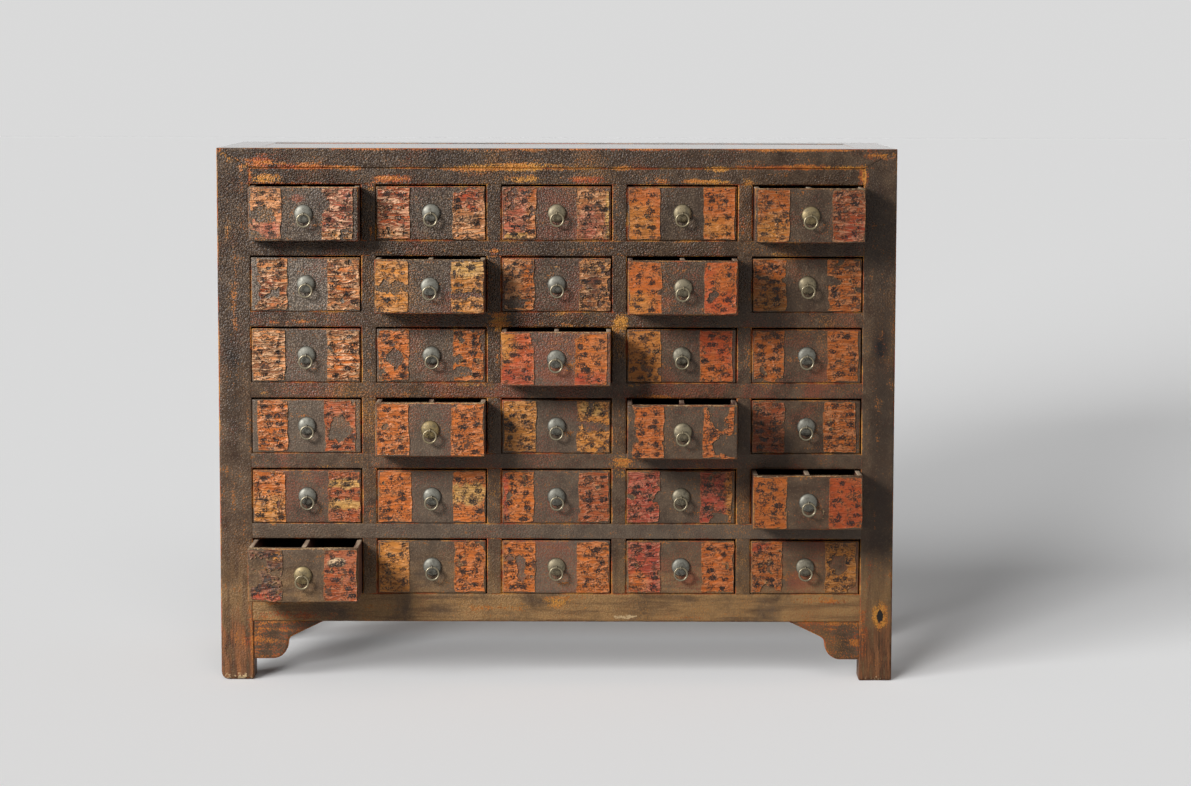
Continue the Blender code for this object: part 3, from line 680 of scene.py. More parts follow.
def makePosts():
    for word, seed in posts["seeds"].items():
        node = "post_front_" if "Front" in word else "post_back_"
        node += "left" if "Left" in word else "right"
        low, high = boxOf(node)
        side, curve = (-1 if "Left" in word else 1), posts["footRounds"][word]

        def cut(points):
            cutPost(points, low, high, side, seed, curve)

        part = board(low, high, posts["radius"], posts["step"], seed, shape=cut)
        casePiece("post" + word, node, [paintCase(part, posts["bareBelow"])], [postLacquer])


makePosts()
print("posts:", len(posts["seeds"]))


# top: four mitred boards round a panel
topBoards = {
    "frameWidth": 0.070, "panelStep": 0.001, "panelThick": 0.014, "tongue": 0.004,
    "radius": 0.0022, "step": 0.0045, "panelRadius": 0.001, "panelGrid": 0.012, "seam": 0.0003,
    "warm": 0.1, "polished": 0.0008,
}


def makeTop():
    wide, seam = topBoards["frameWidth"], topBoards["seam"]

    def clearPosts(points):
        roof = cornerRoof(points)
        points[:, 2] = np.maximum(points[:, 2], np.where(roof > topUnder + 1e-6, roof + seam, topUnder))

    def cutLong(points):
        limit = halfWidth - np.minimum(points[:, 1] - frontY, backY - points[:, 1]) - seam
        points[:, 0] = np.clip(points[:, 0], -limit, limit)
        clearPosts(points)

    def cutShort(points):
        inward = halfWidth - np.abs(points[:, 0]) + seam
        points[:, 1] = np.clip(points[:, 1], frontY + inward, backY - inward)
        clearPosts(points)

    parts = []
    for left, right, near, far, cut in (
        (-halfWidth, halfWidth, frontY, frontY + wide, cutLong),
        (-halfWidth, halfWidth, backY - wide, backY, cutLong),
        (-halfWidth, -halfWidth + wide, frontY, backY, cutShort),
        (halfWidth - wide, halfWidth, frontY, backY, cutShort),
    ):
        low, high = (left, near, topUnder), (right, far, chestHeight)
        parts.append(board(low, high, topBoards["radius"], topBoards["step"], 11 + len(parts), shape=cut))
    panelTop, inset = chestHeight - topBoards["panelStep"], wide - topBoards["tongue"]
    low = (-halfWidth + inset, frontY + inset, panelTop - topBoards["panelThick"])
    high = (halfWidth - inset, backY - inset, panelTop)
    parts.append(board(low, high, topBoards["panelRadius"], topBoards["panelGrid"], 15))
    for part in parts:
        paintCase(part)["warm"] = topBoards["warm"]
        upper = part["points"][:, 2] > panelTop - topBoards["polished"]
        part["finish"] = np.array([int(all(upper[corner] for corner in face)) for face in part["faces"]])
    casePiece("topFrame", "top", parts, [railLacquer, topLacquer])


makeTop()
print("top: mitred frame and panel")


# rails, stiles, shelves and partitions
frontFrame = {
    "railDepth": 0.025, "railBack": 0.0003, "radius": 0.0014, "apronRadius": 0.0022,
    "step": 0.0036, "lap": 0.003, "stileWide": 0.026, "stileBack": 0.0006, "stileRadius": 0.0012, "stileLap": 0.002,
    "shelfThick": 0.009, "shelfGap": 0.0003, "boardThick": 0.010, "boardGap": 0.0002, "boardLap": 0.004,
    "backGap": 0.0004, "innerRadius": 0.0006, "shelfGrid": 0.06, "boardGrid": 0.05,
    "warmRails": (0.12, 0.26, 0.34, 0.24, 0.06),
    "paleRails": (0.0, 0.0, 0.0, 0.08, 0.26),
}
railFace, railBack = frontY + frontFrame["railBack"], frontY + frontFrame["railDepth"]
innerBack = backFace - frontFrame["backGap"]


def shelfStrips(top):
    # the shelf behind a rail, one strip for each column
    half = frontFrame["boardThick"] / 2 + frontFrame["boardGap"]
    end = halfOpen - frontFrame["shelfGap"]
    edges = [-end, *(middle + side for middle in stileMiddles for side in (-half, half)), end]
    strips = []
    for n in range(0, len(edges), 2):
        low = (edges[n], railBack - 0.001, top - frontFrame["shelfThick"])
        high = (edges[n + 1], innerBack, top - 0.0001)
        strips.append(board(low, high, frontFrame["innerRadius"], frontFrame["shelfGrid"], 40 + n, finish=1))
    return strips


def makeRail(span, seed, radius=frontFrame["radius"]):
    reach = halfOpen + frontFrame["lap"]
    low, high = (-reach, railFace, span[0]), (reach, railBack, span[1])
    return paintCase(board(low, high, radius, frontFrame["step"], seed))


def makeRails():
    casePiece("upperRail", "upper_rail", [makeRail(upperSpan, 21)], [railLacquer])
    for row, span in enumerate(railSpans, 1):
        rail = makeRail(span, 21 + row)
        rail["warm"], rail["pale"] = frontFrame["warmRails"][row - 1], frontFrame["paleRails"][row - 1]
        parts = [rail, *shelfStrips(span[1])]
        casePiece(f"drawerRail{row}", f"drawer_rail_{row}", parts, [railLacquer, shelfWood])
    apron = makeRail(apronSpan, 28, frontFrame["apronRadius"])
    casePiece("apron", "bottom_rail", [apron, *shelfStrips(apronSpan[1])], [railLacquer, shelfWood])


def makePartitions():
    half, thick = frontFrame["stileWide"] / 2, frontFrame["boardThick"] / 2
    face, back = frontY + frontFrame["stileBack"], railBack - 0.0005
    lap, boardLap = frontFrame["stileLap"], frontFrame["boardLap"]
    spans = [upperSpan, *railSpans, apronSpan]
    for n, middle in enumerate(stileMiddles, 1):
        parts = []
        for row, (above, below) in enumerate(zip(spans, spans[1:])):
            low, high = (middle - half, face, below[1] - lap), (middle + half, back, above[0] + lap)
            stile = board(low, high, frontFrame["stileRadius"], frontFrame["step"], 50 + 7 * n + row)
            parts.append(paintCase(stile))
        low = (middle - thick, back - 0.001, apronSpan[1] - boardLap)
        high = (middle + thick, innerBack, upperSpan[0] + boardLap)
        parts.append(board(low, high, frontFrame["innerRadius"], frontFrame["boardGrid"], 90 + n, finish=1))
        casePiece(f"partition{n}", f"partition_{n}", parts, [postLacquer, innerWood])


makeRails()
makePartitions()
print("front frame:", len(railSpans) + 2, "rails,", len(stileMiddles), "partitions")


# sides and back
sideBack = {
    "panelThick": 0.014, "panelInset": 0.006, "panelCuts": (0.36, 0.69), "seam": 0.0001, "tongue": 0.008,
    "railHigh": 0.051, "guideHigh": 0.014, "bareBelow": 0.35, "warm": 0.12, "planks": 6, "plankSeam": 0.0002,
}


def makeSides():
    near, far = frontY + postDepth, backY - postDepth
    outer = halfWidth - sideBack["panelInset"]
    inner, foot = outer - sideBack["panelThick"], apronSpan[0]
    seam, tongue = sideBack["seam"], sideBack["tongue"]
    cuts = [near - tongue, *(near + (far - near) * share for share in sideBack["panelCuts"]), far + tongue]
    for side, word in ((-1, "Left"), (1, "Right")):
        def put(xs, ys, zs, *look, finish=0):
            xs = sorted(side * x for x in xs)
            return board((xs[0], ys[0], zs[0]), (xs[1], ys[1], zs[1]), *look, finish=finish)

        seed = 60 + side
        parts = []
        for n in range(3):
            ys, zs = (cuts[n] + seam, cuts[n + 1] - seam), (foot + 0.004, topUnder - 0.0005)
            parts.append(put((inner, outer), ys, zs, 0.0009, 0.008, seed + n * 3))
        xs, ys = (outer - 0.003, halfWidth - 0.0004), (near + 0.0003, far - 0.0003)
        parts.append(put(xs, ys, (foot, foot + sideBack["railHigh"]), 0.002, 0.006, seed + 20))
        for part in parts:
            part["bare"] = np.clip(sideBack["bareBelow"] - part["points"][:, 2], 0, 1) * 1.4
            part["warm"] = sideBack["warm"]
        xs, ys = (halfOpen + 0.0001, inner + 0.001), (near + 0.0005, far - 0.0005)
        for _, high in [apronSpan, *railSpans]:
            zs = high + 0.0005, high + sideBack["guideHigh"]
            parts.append(put(xs, ys, zs, 0.0006, 0.06, 71, finish=1))
        casePiece(f"side{word}", f"side_panel_{word.lower()}", parts, [postLacquer, shelfWood])


def makeBack():
    low, high = boxOf("back_panel")
    count, seam = sideBack["planks"], sideBack["plankSeam"]
    edges = np.linspace(low[0], high[0], count + 1)
    edges[1:-1] += (mottle(np.arange(count - 1)[:, None] * np.ones(3) * 1.7, 1.0, 5) - 0.5) * 0.05
    parts = []
    for n in range(count):
        plankHigh = (edges[n + 1] - seam, high[1] - 0.0004 * (n % 2), high[2])
        parts.append(board((edges[n] + seam, low[1], low[2]), plankHigh, 0.0012, 0.02, 80 + n))
    casePiece("backPanel", "back_panel", parts, [backWood], "bare_wood")


makeSides()
makeBack()
print("sides and back:", sideBack["planks"], "planks in the back")


# sheets cut out of a field: positive inside, zero on the outline
def cutSheet(width, height, step, field):
    columns, rows = int(math.ceil(width / step)) + 1, int(math.ceil(height / step)) + 1
    u, v = np.meshgrid(np.linspace(0, width, columns), np.linspace(0, height, rows), indexing="ij")
    flat = np.stack([u.ravel(), v.ravel()], axis=1)
    level = field(flat)
    inside = level > 0
    spots, index, faces = [], {}, []

    def keep(key, spot):
        if key not in index:
            index[key] = len(spots)
            spots.append(spot)
        return index[key]

    def crossing(a, b):
        a, b = min(a, b), max(a, b)
        share = min(max(level[a] / (level[a] - level[b]), 0.04), 0.96)
        return keep((a, b), flat[a] + (flat[b] - flat[a]) * share)

    for i in range(columns - 1):
        for j in range(rows - 1):
            around = (i * rows + j, (i + 1) * rows + j, (i + 1) * rows + j + 1, i * rows + j + 1)
            loop = []
            for n, spot in enumerate(around):
                after = around[(n + 1) % 4]
                if inside[spot]:
                    loop.append(keep(spot, flat[spot]))
                if inside[spot] != inside[after]:
                    loop.append(crossing(spot, after))
            if len(loop) > 2:
                faces.append(loop)
    return np.array(spots).reshape(-1, 2), faces


def thickSheet(faces, front, back, finish):
    # closes a cut sheet with a back and a skirt; front and back are point arrays
    count = len(front)
    sides = dict.fromkeys((face[n - 1], spot) for face in faces for n, spot in enumerate(face))
    skirt = [[b, a, a + count, b + count] for a, b in sides if (b, a) not in sides]
    rear = [[corner + count for corner in reversed(face)] for face in faces]
    return {"points": np.concatenate([front, back]), "faces": faces + skirt + rear, "finish": finish}


# shaped brackets under the apron
brackets = {
    "length": 0.130, "drop": 0.068, "lobe": 0.028, "neck": 0.061, "coveRise": 0.010, "thick": 0.018,
    "recess": 0.002, "gap": 0.0003, "radius": 0.0016, "step": 0.0035, "lap": 0.0025, "margin": 0.004,
    "rust": 0.38, "bare": 0.14,
}


def bracketOutline():
    length, drop, lobe, neck, rise = (brackets[k] for k in ("length", "drop", "lobe", "neck", "coveRise"))
    lap = brackets["lap"]
    lobeX, level = neck - lobe, drop - lobe
    turn = math.pi / 2 - math.atan2(level - rise, length - neck)
    cove = rise / math.tan(turn / 2)
    arcs = [(neck + cove, cove, math.pi + turn * (1 - n / 12)) for n in range(13)]
    arcs += [(lobeX, lobe, math.pi / 2 * n / 16) for n in range(1, 17)]
    curve = [(x + radius * math.cos(angle), level + radius * math.sin(angle)) for x, radius, angle in arcs]
    return np.array([(-lap, -lap), (length, -lap), *curve, (-lap, drop)])


def outlineDepth(spots, outline):
    # distance to the outline, positive inside it
    nearest, inside = np.full(len(spots), 9.0), np.zeros(len(spots), bool)
    for n in range(len(outline)):
        a, b = outline[n - 1], outline[n]
        along = b - a
        share = np.clip(((spots - a) @ along) / max(along @ along, 1e-12), 0, 1)
        nearest = np.minimum(nearest, np.linalg.norm(spots - a - share[:, None] * along, axis=1))
        if a[1] != b[1]:
            crosses = (a[1] > spots[:, 1]) != (b[1] > spots[:, 1])
            inside ^= crosses & (spots[:, 0] < a[0] + (spots[:, 1] - a[1]) / (b[1] - a[1]) * along[0])
    return np.where(inside, nearest, -nearest)


def makeBrackets():
    outline, margin, radius = bracketOutline(), brackets["margin"], brackets["radius"]
    size = brackets["length"] + 2 * margin, brackets["drop"] + 2 * margin
    spots, faces = cutSheet(*size, brackets["step"], lambda flat: outlineDepth(flat - margin, outline))
    spots = spots - margin
    depth = np.maximum(outlineDepth(spots, outline), 0)
    sink = radius - np.sqrt(np.maximum(radius**2 - np.clip(radius - depth, 0, None) ** 2, 0))
    face = frontY + brackets["recess"]
    for side, word in ((-1, "Left"), (1, "Right")):
        x = side * (halfOpen - brackets["gap"] - spots[:, 0])
        z = apronSpan[0] - spots[:, 1]
        front = np.stack([x, face + sink, z], axis=1)
        back = np.stack([x, np.full(len(x), face + brackets["thick"]), z], axis=1)
        # the sheet runs down from the apron, so the left one is wound the other way round
        part = thickSheet(faces if side > 0 else [loop[::-1] for loop in faces], front, back, 0)
        part["edge"] = np.concatenate([depth, depth])
        paintCase(part)
        part["rust"] = np.maximum(part["rust"], brackets["rust"])
        part["bare"] = brackets["bare"]
        casePiece(f"bracket{word}", f"bracket_{word.lower()}", [part], [bracketLacquer])


makeBrackets()
print("brackets: 2")


# drawers: front board, box, and two pasted labels that are worn to blots
drawerBox = {
    "length": 0.399, "frontThick": 0.018, "frontRadius": 0.0017, "step": 0.0045, "lift": 0.0003,
    "inset": 0.001, "topGap": 0.0014, "rightGap": 0.0011, "sideThick": 0.008, "bottomThick": 0.006, "lap": 0.0004,
    "boxRadius": 0.0008, "boxGrid": 0.05, "openRim": 0.42, "shutRim": 0.25, "rimHigh": 0.0016, "warm": 0.06,
}
labelSheet = {
    "width": 0.0584, "widthChange": 0.002, "margin": 0.0014, "trim": 0.0013, "step": 0.0016, "lift": 0.0003,
    "wrinkle": 0.0021, "ripple": 0.0004, "curl": 0.0008, "curlWidth": 0.003, "sunk": 0.0004,
    "rag": (0.004, 0.013), "tear": 0.022, "holes": (0.16, 0.42), "inkPlaces": 12,
}
labelTints = {
    "orange": tone(198, 110, 44), "ochre": tone(202, 134, 58), "rust": tone(166, 84, 42),
    "red": tone(182, 78, 46), "redOrange": tone(190, 88, 42), "brown": tone(104, 62, 42),
    "pink": tone(182, 84, 62), "yellow": tone(206, 160, 86), "cream": tone(220, 194, 148),
    "tan": tone(204, 138, 82), "rose": tone(186, 104, 74),
}
# for each front, left then right label: tint, wear, wrinkling, losses (u, v, half sizes),
# other tints (u, v, half sizes, tint), all in hundredths
labelLooks = {
    (1, 1): (("tan", 36, 60, [(42, 52, 36, 16), (10, 12, 30, 10)], [(50, 20, 60, 20, "rose")]),
             ("rose", 28, 100, [(0, 72, 22, 20)], [(60, 8, 50, 10, "ochre")])),
    (1, 2): (("redOrange", 22, 100, [], [(50, 10, 50, 10, "tan"), (30, 60, 30, 20, "rust")]),
             ("tan", 26, 80, [(20, 100, 50, 10)], [(50, 80, 40, 20, "red")])),
    (1, 3): (("rose", 32, 70, [], [(50, 6, 50, 8, "yellow"), (85, 50, 16, 50, "orange")]),
             ("tan", 34, 70, [(95, 97, 30, 5)], [(40, 30, 40, 30, "rose"), (95, 50, 8, 50, "yellow")])),
    (1, 4): (("orange", 10, 40, [], [(30, 30, 50, 30, "ochre")]),
             ("orange", 12, 40, [], [(40, 20, 50, 20, "ochre")])),
    (1, 5): (("orange", 12, 50, [], [(40, 20, 50, 30, "ochre")]),
             ("rust", 18, 60, [], [(80, 20, 40, 30, "red")])),
    (2, 1): (("tan", 26, 100, [(0, 50, 12, 60)], [(40, 40, 40, 25, "rust")]),
             ("tan", 22, 100, [], [(40, 50, 40, 30, "orange")])),
    (2, 2): (("ochre", 18, 60, [(45, 48, 50, 11)], []),
             ("ochre", 20, 60, [(50, 36, 60, 6)], [(50, 85, 50, 15, "yellow")])),
    (2, 3): (("tan", 38, 60, [(45, 16, 34, 12)], [(80, 40, 20, 50, "orange")]),
             ("tan", 34, 70, [(100, 50, 8, 20)], [(40, 50, 20, 30, "brown"), (60, 85, 40, 10, "ochre")])),
    (2, 4): (("orange", 10, 30, [(102, 42, 14, 9)], [(20, 20, 50, 20, "ochre")]),
             ("redOrange", 12, 30, [(30, 36, 14, 12)], [(60, 70, 40, 30, "orange")])),
    (2, 5): (("orange", 22, 50, [(98, 62, 14, 8), (10, 66, 16, 6)], [(50, 15, 50, 30, "ochre")]),
             ("orange", 20, 50, [(12, 60, 26, 9), (0, 16, 12, 10)], [])),
    (3, 1): (("tan", 18, 100, [], []), ("tan", 20, 100, [], [(50, 40, 40, 30, "orange")])),
    (3, 2): (("orange", 32, 50, [(55, 40, 22, 20)], []),
             ("orange", 32, 50, [(30, 20, 30, 10), (100, 80, 20, 20)], [])),
    (3, 3): (("redOrange", 12, 40, [(108, 105, 24, 34)],
              [(10, 80, 25, 30, "ochre"), (40, 10, 50, 20, "red")]),
             ("orange", 12, 40, [(0, 100, 20, 10)], [(40, 10, 60, 14, "red")])),
    (3, 4): (("ochre", 10, 30, [(100, 20, 12, 8)], []),
             ("redOrange", 12, 30, [], [(30, 15, 50, 30, "orange")])),
    (3, 5): (("orange", 20, 40, [(50, 0, 60, 6)], []), ("orange", 14, 40, [], [])),
    (4, 1): (("orange", 20, 70, [], []), ("rust", 26, 50, [(50, 45, 36, 24)], [])),
    (4, 2): (("orange", 20, 50, [], []), ("orange", 20, 50, [], [])),
    (4, 3): (("ochre", 18, 50, [], []), ("ochre", 30, 40, [(50, 50, 60, 10)], [(50, 85, 40, 15, "yellow")])),
    (4, 4): (("orange", 14, 40, [(0, 55, 10, 35)], []),
             ("orange", 32, 40, [(50, 82, 26, 30), (80, 25, 50, 20)], [])),
    (4, 5): (("rust", 32, 40, [], []), ("orange", 20, 50, [], [])),
    (5, 1): (("orange", 14, 60, [], [(40, 20, 60, 30, "ochre")]),
             ("rust", 18, 40, [], [(50, 75, 60, 9, "yellow"), (50, 35, 60, 9, "yellow")])),
    (5, 2): (("orange", 18, 40, [], []), ("orange", 18, 40, [], [(50, 55, 50, 18, "yellow")])),
    (5, 3): (("orange", 18, 40, [(20, 50, 10, 6)], [(5, 50, 12, 60, "red")]), ("rust", 18, 50, [], [])),
    (5, 4): (("pink", 18, 50, [(98, 50, 25, 12)], []),
             ("pink", 28, 40, [(70, 8, 40, 10)], [(92, 50, 14, 60, "ochre")])),
    (5, 5): (("orange", 6, 20, [], []), ("redOrange", 8, 20, [], [])),
    (6, 1): (("brown", 46, 50, [(30, 75, 30, 12), (10, 40, 20, 20)],
              [(70, 8, 50, 10, "red"), (80, 85, 16, 8, "ochre")]),
             ("rust", 20, 40, [], [(40, 75, 24, 8, "cream")])),
    (6, 2): (("ochre", 12, 40, [], []), ("orange", 18, 40, [(95, 97, 30, 12)], [])),
    (6, 3): (("orange", 24, 40, [(55, 50, 16, 24)], []), ("orange", 18, 50, [], [])),
    (6, 4): (("pink", 18, 50, [], [(20, 20, 40, 20, "orange")]), ("orange", 18, 40, [], [])),
    (6, 5): (("orange", 24, 40, [(50, 48, 18, 8), (60, 5, 30, 8)], [(25, 90, 35, 10, "red")]),
             ("ochre", 26, 40, [(45, 55, 25, 18), (98, 5, 30, 8)], [])),
}
# how far in from the edges the two labels of a front are stuck, millimetres
labelShift = {
    (1, 1): (2, 8.5), (2, 1): (5.8, 0.3), (3, 1): (0.3, 0.3), (4, 1): (7.8, 9), (5, 1): (0.3, 1.2),
    (6, 1): (1.6, 0.3), (1, 2): (1.8, 0.3), (2, 2): (0.3, 0.3), (1, 3): (1.8, 1.8), (3, 3): (0.5, 5.5),
    (1, 4): (1.8, 2.8), (3, 4): (1, 5), (4, 4): (8.5, 4.5), (1, 5): (2.6, 0.3), (3, 5): (1, 4),
    (4, 5): (0.3, 7.5), (5, 4): (0.3, 4), (5, 5): (0.4, 0.3), (6, 5): (0.3, 4.5),
}
# how warm single fronts are
warmFronts = {
    (3, 3): 0.5, (1, 3): 0.38, (2, 3): 0.34, (6, 5): 0.36, (6, 4): 0.28, (3, 4): 0.28, (3, 5): 0.26,
    (2, 4): 0.22, (2, 2): 0.22, (5, 3): 0.24, (3, 1): 0.18, (3, 2): 0.2, (4, 2): 0.24, (4, 3): 0.22,
    (5, 1): 0.34, (5, 2): 0.2, (6, 3): 0.48, (4, 5): 0.12,
}
# painted sheen: the fronts are paler towards the left, where the light falls; how pale the fronts of each column
# are, from the left, and the fronts that differ, some of them by their own grey tone
sheenPerColumn = (0.36, 0.28, 0.22, 0.12, 0.04)
ownPaleAndSheen = {
    (6, 1): 0.1, (1, 1): 0.38, (2, 1): 0.9, (5, 1): 0.18, (6, 2): 0.14, (4, 5): 0.0, (3, 3): 0.4,
    (6, 3): 0.4,
}
# worn spots on single fronts, from the middle of the front: mark, then as on the case
frontMarks = {
    (1, 1): [("warm", -12, 27, 13, 7, 1.6)], (2, 3): [("ochre", 0, 31, 10, 2.4, 1.3)],
    (3, 3): [("warm", 4, -27, 32, 14, 1.7)],
    (6, 4): [("warm", 14, -22, 14, 12, 1.7), ("rust", 18, -24, 6, 5, 0.8)],
    (6, 5): [("warm", -12, -24, 22, 18, 1.7), ("rust", -14, -30, 10, 5, 0.75)],
    (4, 5): [("rust", -24, 8, 3, 6, 1.0), ("rust", 18, 12, 3, 4, 1.0)],
    (1, 2): [("ochre", -26, 30, 3, 8, 0.9)],
}
# painted shade: the labels darken column by column towards the right, away from the light; how much red, green and
# blue the labels of each column keep, from the left
labelShadePerColumn = (0.95, 0.88, 0.94), (0.95, 0.88, 0.92), (0.92, 0.86, 0.88), (0.84, 0.72, 0.71), (0.70, 0.63, 0.59)
# one pale scratch, from the middle of its front
scratch = {"front": (5, 5), "spot": (0.027, -0.017), "half": (0.0028, 0.020), "strength": 0.42}


def fromSpot(flat, size, spot):
    # distance from the middle of a spot on a label, 1 at its rim
    middle, half = np.array(spot[:2]) / 100, np.array(spot[2:4]) / 100
    return np.hypot(*((flat / size - middle) / half).T)


def inkLeft(spots, size, seed):
    # where worn ink is left: soft places in two columns, some stronger than others
    ink = np.zeros(len(spots))
    for n in range(labelSheet["inkPlaces"]):
        chance = [math.sin(seed * 12.9 + n * 78.2 + k * 37.7) * 43758.5 % 1 for k in range(5)]
        u = 0.28 + 0.44 * (n % 2) + 0.26 * (chance[0] - 0.5)
        v = 0.12 + 0.152 * (n // 2) + 0.09 * (chance[1] - 0.5)
        half = (0.0056 + 0.0050 * chance[2], 0.0036 + 0.0026 * chance[3])
        away = np.hypot(*((spots - size * (u, v)) / half).T)
        ink = np.maximum(ink, np.clip(1.6 - away, 0, 1) * (0.50 + 0.46 * chance[4]))
    return ink


def makeLabel(left, bottom, size, faceY, look, seed, columnShade):
    tint, wear, wrinkle, losses, washes = look
    wear, wrinkle = wear / 100, wrinkle / 100

    def lay(flat):
        return np.stack([flat[:, 0] + left, np.full(len(flat), seed * 0.37), flat[:, 1] + bottom], axis=1)

    def field(flat):
        spot = lay(flat)
        rag = (layered(spot, 55, seed, 3) - 0.5) * (labelSheet["rag"][0] + labelSheet["rag"][1] * wear)
        depth = np.minimum(flat, size - flat).min(axis=1) - labelSheet["trim"] + rag
        tear = (layered(spot, 95, seed + 31, 3) - 0.5) * labelSheet["tear"]
        for loss in losses:
            reach = min(np.array(loss[2:]) / 100 * size)
            depth = np.minimum(depth, (fromSpot(flat, size, loss) - 1) * reach + tear)
        holes = layered(spot, 60, seed + 57, 3) - (labelSheet["holes"][0] + labelSheet["holes"][1] * wear)
        return np.minimum(depth, holes * 0.02)

    spots, faces = cutSheet(*size, labelSheet["step"], field)
    spot = lay(spots)
    depth = np.maximum(field(spots), 0)
    ridge = 1 - np.abs(2 * layered(spot, (24, 24, 135), seed + 5, 2) - 1)
    rise = labelSheet["lift"] + labelSheet["wrinkle"] * wrinkle * ridge**3
    rise += labelSheet["ripple"] * layered(spot, 130, seed + 9, 2)
    loose = np.clip(1 - depth / labelSheet["curlWidth"], 0, 1)
    rise += labelSheet["curl"] * loose * layered(spot, 60, seed + 17, 2) ** 2
    front, back = spot.copy(), spot.copy()
    front[:, 1], back[:, 1] = faceY - rise, faceY + labelSheet["sunk"]
    part = thickSheet(faces, front, back, 2)
    colour = np.tile(labelTints[tint], (len(spots), 1))
    for *wash, other in washes:
        crisp = 3.0 if other in ("yellow", "cream") else 1.0
        torn = (layered(spot, 90, seed + 23, 2) - 0.5) * 1.2
        share = np.clip(0.5 + (1.1 - fromSpot(spots, size, wash) + torn) * crisp, 0, 1)[:, None]
        colour = colour * (1 - share) + np.array(labelTints[other]) * share
    shade = 0.72 + 0.5 * layered(spot, 35, seed + 41, 2) + 0.34 * layered(spot, 140, seed + 43, 2)
    colour[:, :3] *= shade[:, None] * columnShade
    for key, values in (("tint", colour), ("ink", inkLeft(spots, size, seed)), ("edge", depth)):
        part[key] = np.concatenate([values, values])
    part["worn"], part["crease"] = 0.10 + wear * 0.7, wrinkle**1.7
    return part


def makeFront(place, low, high, seed):
    front = board(low, high, drawerBox["frontRadius"], drawerBox["step"], seed)
    points = front["points"]
    middleX, middleZ = frontMiddle(place)
    front["warm"] = warmFronts.get(place, drawerBox["warm"])
    # painted sheen, paler towards the left, on top of some fronts' own grey tone
    front["pale"] = ownPaleAndSheen.get(place, sheenPerColumn[place[1] - 1])
    # a pale band along the top edge of each front, stronger on the open drawers: worn paint, and a painted
    # highlight where the exposed top edge catches the light
    rim = drawerBox["openRim"] if frontY - low[1] > 0.03 else drawerBox["shutRim"]
    front["chip"] = np.where(points[:, 2] > high[2] - drawerBox["rimHigh"], rim, 0.0)
    for key, x, z, *spot in frontMarks.get(place, ()):
        worn = spotMark(points, middleX * 1000 + x, middleZ * 1000 + z, *spot)
        front[key] = np.maximum(front.get(key, 0.0), worn)
    if place == scratch["front"]:
        away = (points[:, ::2] - (middleX, middleZ) - scratch["spot"]) / scratch["half"]
        worn = scratch["strength"] * np.clip(1.6 - np.hypot(*away.T), 0, 1)
        front["chip"] = np.maximum(front["chip"], worn)
    return front


def drawerNode(place):
    return "drawer_r{}_c{}".format(*place)


def frontMiddle(place):
    low, high = boxOf(drawerNode(place))
    return (low[0] + high[0]) / 2, (low[2] + high[2]) / 2


def makeDrawer(place):
    node, seed = drawerNode(place), place[0] * 10 + place[1]
    (left, _, bottom), (right, back, top) = boxOf(node)
    face = back - drawerBox["length"]
    inset, side, lap = drawerBox["inset"], drawerBox["sideThick"], drawerBox["lap"]
    frontBack = face + drawerBox["frontThick"]
    frontTop, frontRight = top - drawerBox["topGap"], right - drawerBox["rightGap"]
    frontLow, frontHigh = (left, face, bottom + drawerBox["lift"]), (frontRight, frontBack, frontTop)
    parts = [makeFront(place, frontLow, frontHigh, seed)]
    rim, start, end = frontTop + 0.0002, frontBack - 0.0006, back - side
    a, b, c, d = left + inset, left + inset + side, right - inset - side, right - inset
    middle, floor = (left + right) / 2, bottom + drawerBox["bottomThick"]
    # the two sides, the back, the bottom and the divider
    for x0, x1, y0, y1, z0, z1 in (
        (a, b, start, back, bottom, rim),
        (c, d, start, back, bottom, rim),
        (b - lap, c + lap, end, back - 0.0003, bottom + 0.0002, rim - 0.0006),
        (b - lap, c + lap, start, end + lap, bottom + 0.0001, floor),
        (middle - side / 2, middle + side / 2, start, end + lap, floor - lap, rim - 0.0003),
    ):
        look = drawerBox["boxRadius"], drawerBox["boxGrid"], seed + len(parts) * 3
        parts.append(board((x0, y0, z0), (x1, y1, z1), *look, finish=1))
    shift = labelShift.get(place, (0.4 + 1.4 * abs(math.sin(seed)), 0.4 + 1.4 * abs(math.cos(seed * 1.3))))
    margin = labelSheet["margin"]
    width = labelSheet["width"] + labelSheet["widthChange"] * math.sin(seed * 2.1)
    size = np.array([width, frontTop - bottom - 2 * margin])
    starts = left + shift[0] / 1000, frontRight - shift[1] / 1000 - width
    for turn, look in enumerate(labelLooks[place]):
        low = bottom + margin + drawerBox["lift"]
        parts.append(makeLabel(starts[turn], low, size, face, look, seed * 2 + turn, labelShadePerColumn[place[1] - 1]))
    finishes = [frontLacquer, innerWood, paperFinish]
    makePiece("drawer{}{}".format(*place), parts, finishes, node, "drawer_lacquer", node)


places = [(row, column) for row in range(1, 7) for column in range(1, 6)]
for place in places:
    makeDrawer(place)
print("drawers:", len(places), "with labels")


# ring pulls: boss, eye and ring from one node tree, sizes under the names of its inputs
pulls = {
    "Boss Radius": 0.0164, "Boss Height": 0.0074, "Boss Back": 0.0015,
    "Eye Radius": 0.0032, "Eye Wire": 0.0008, "Eye Reach": 0.0112, "Ring Radius": 0.0112, "Ring Wire": 0.0018,
    "Ring Sag": 0.0001, "Dents": 0.0003,
}
pullChance = {"turn": 0.09, "brassy": 0.12}
brassyPulls = {
    (1, 3): 0.5, (1, 4): 0.6, (1, 5): 0.75, (2, 4): 0.45, (2, 5): 0.55, (3, 4): 0.3, (4, 2): 0.9, (4, 4): 0.5,
    (5, 4): 0.4, (6, 1): 0.8, (6, 3): 0.5, (6, 5): 0.3,
}


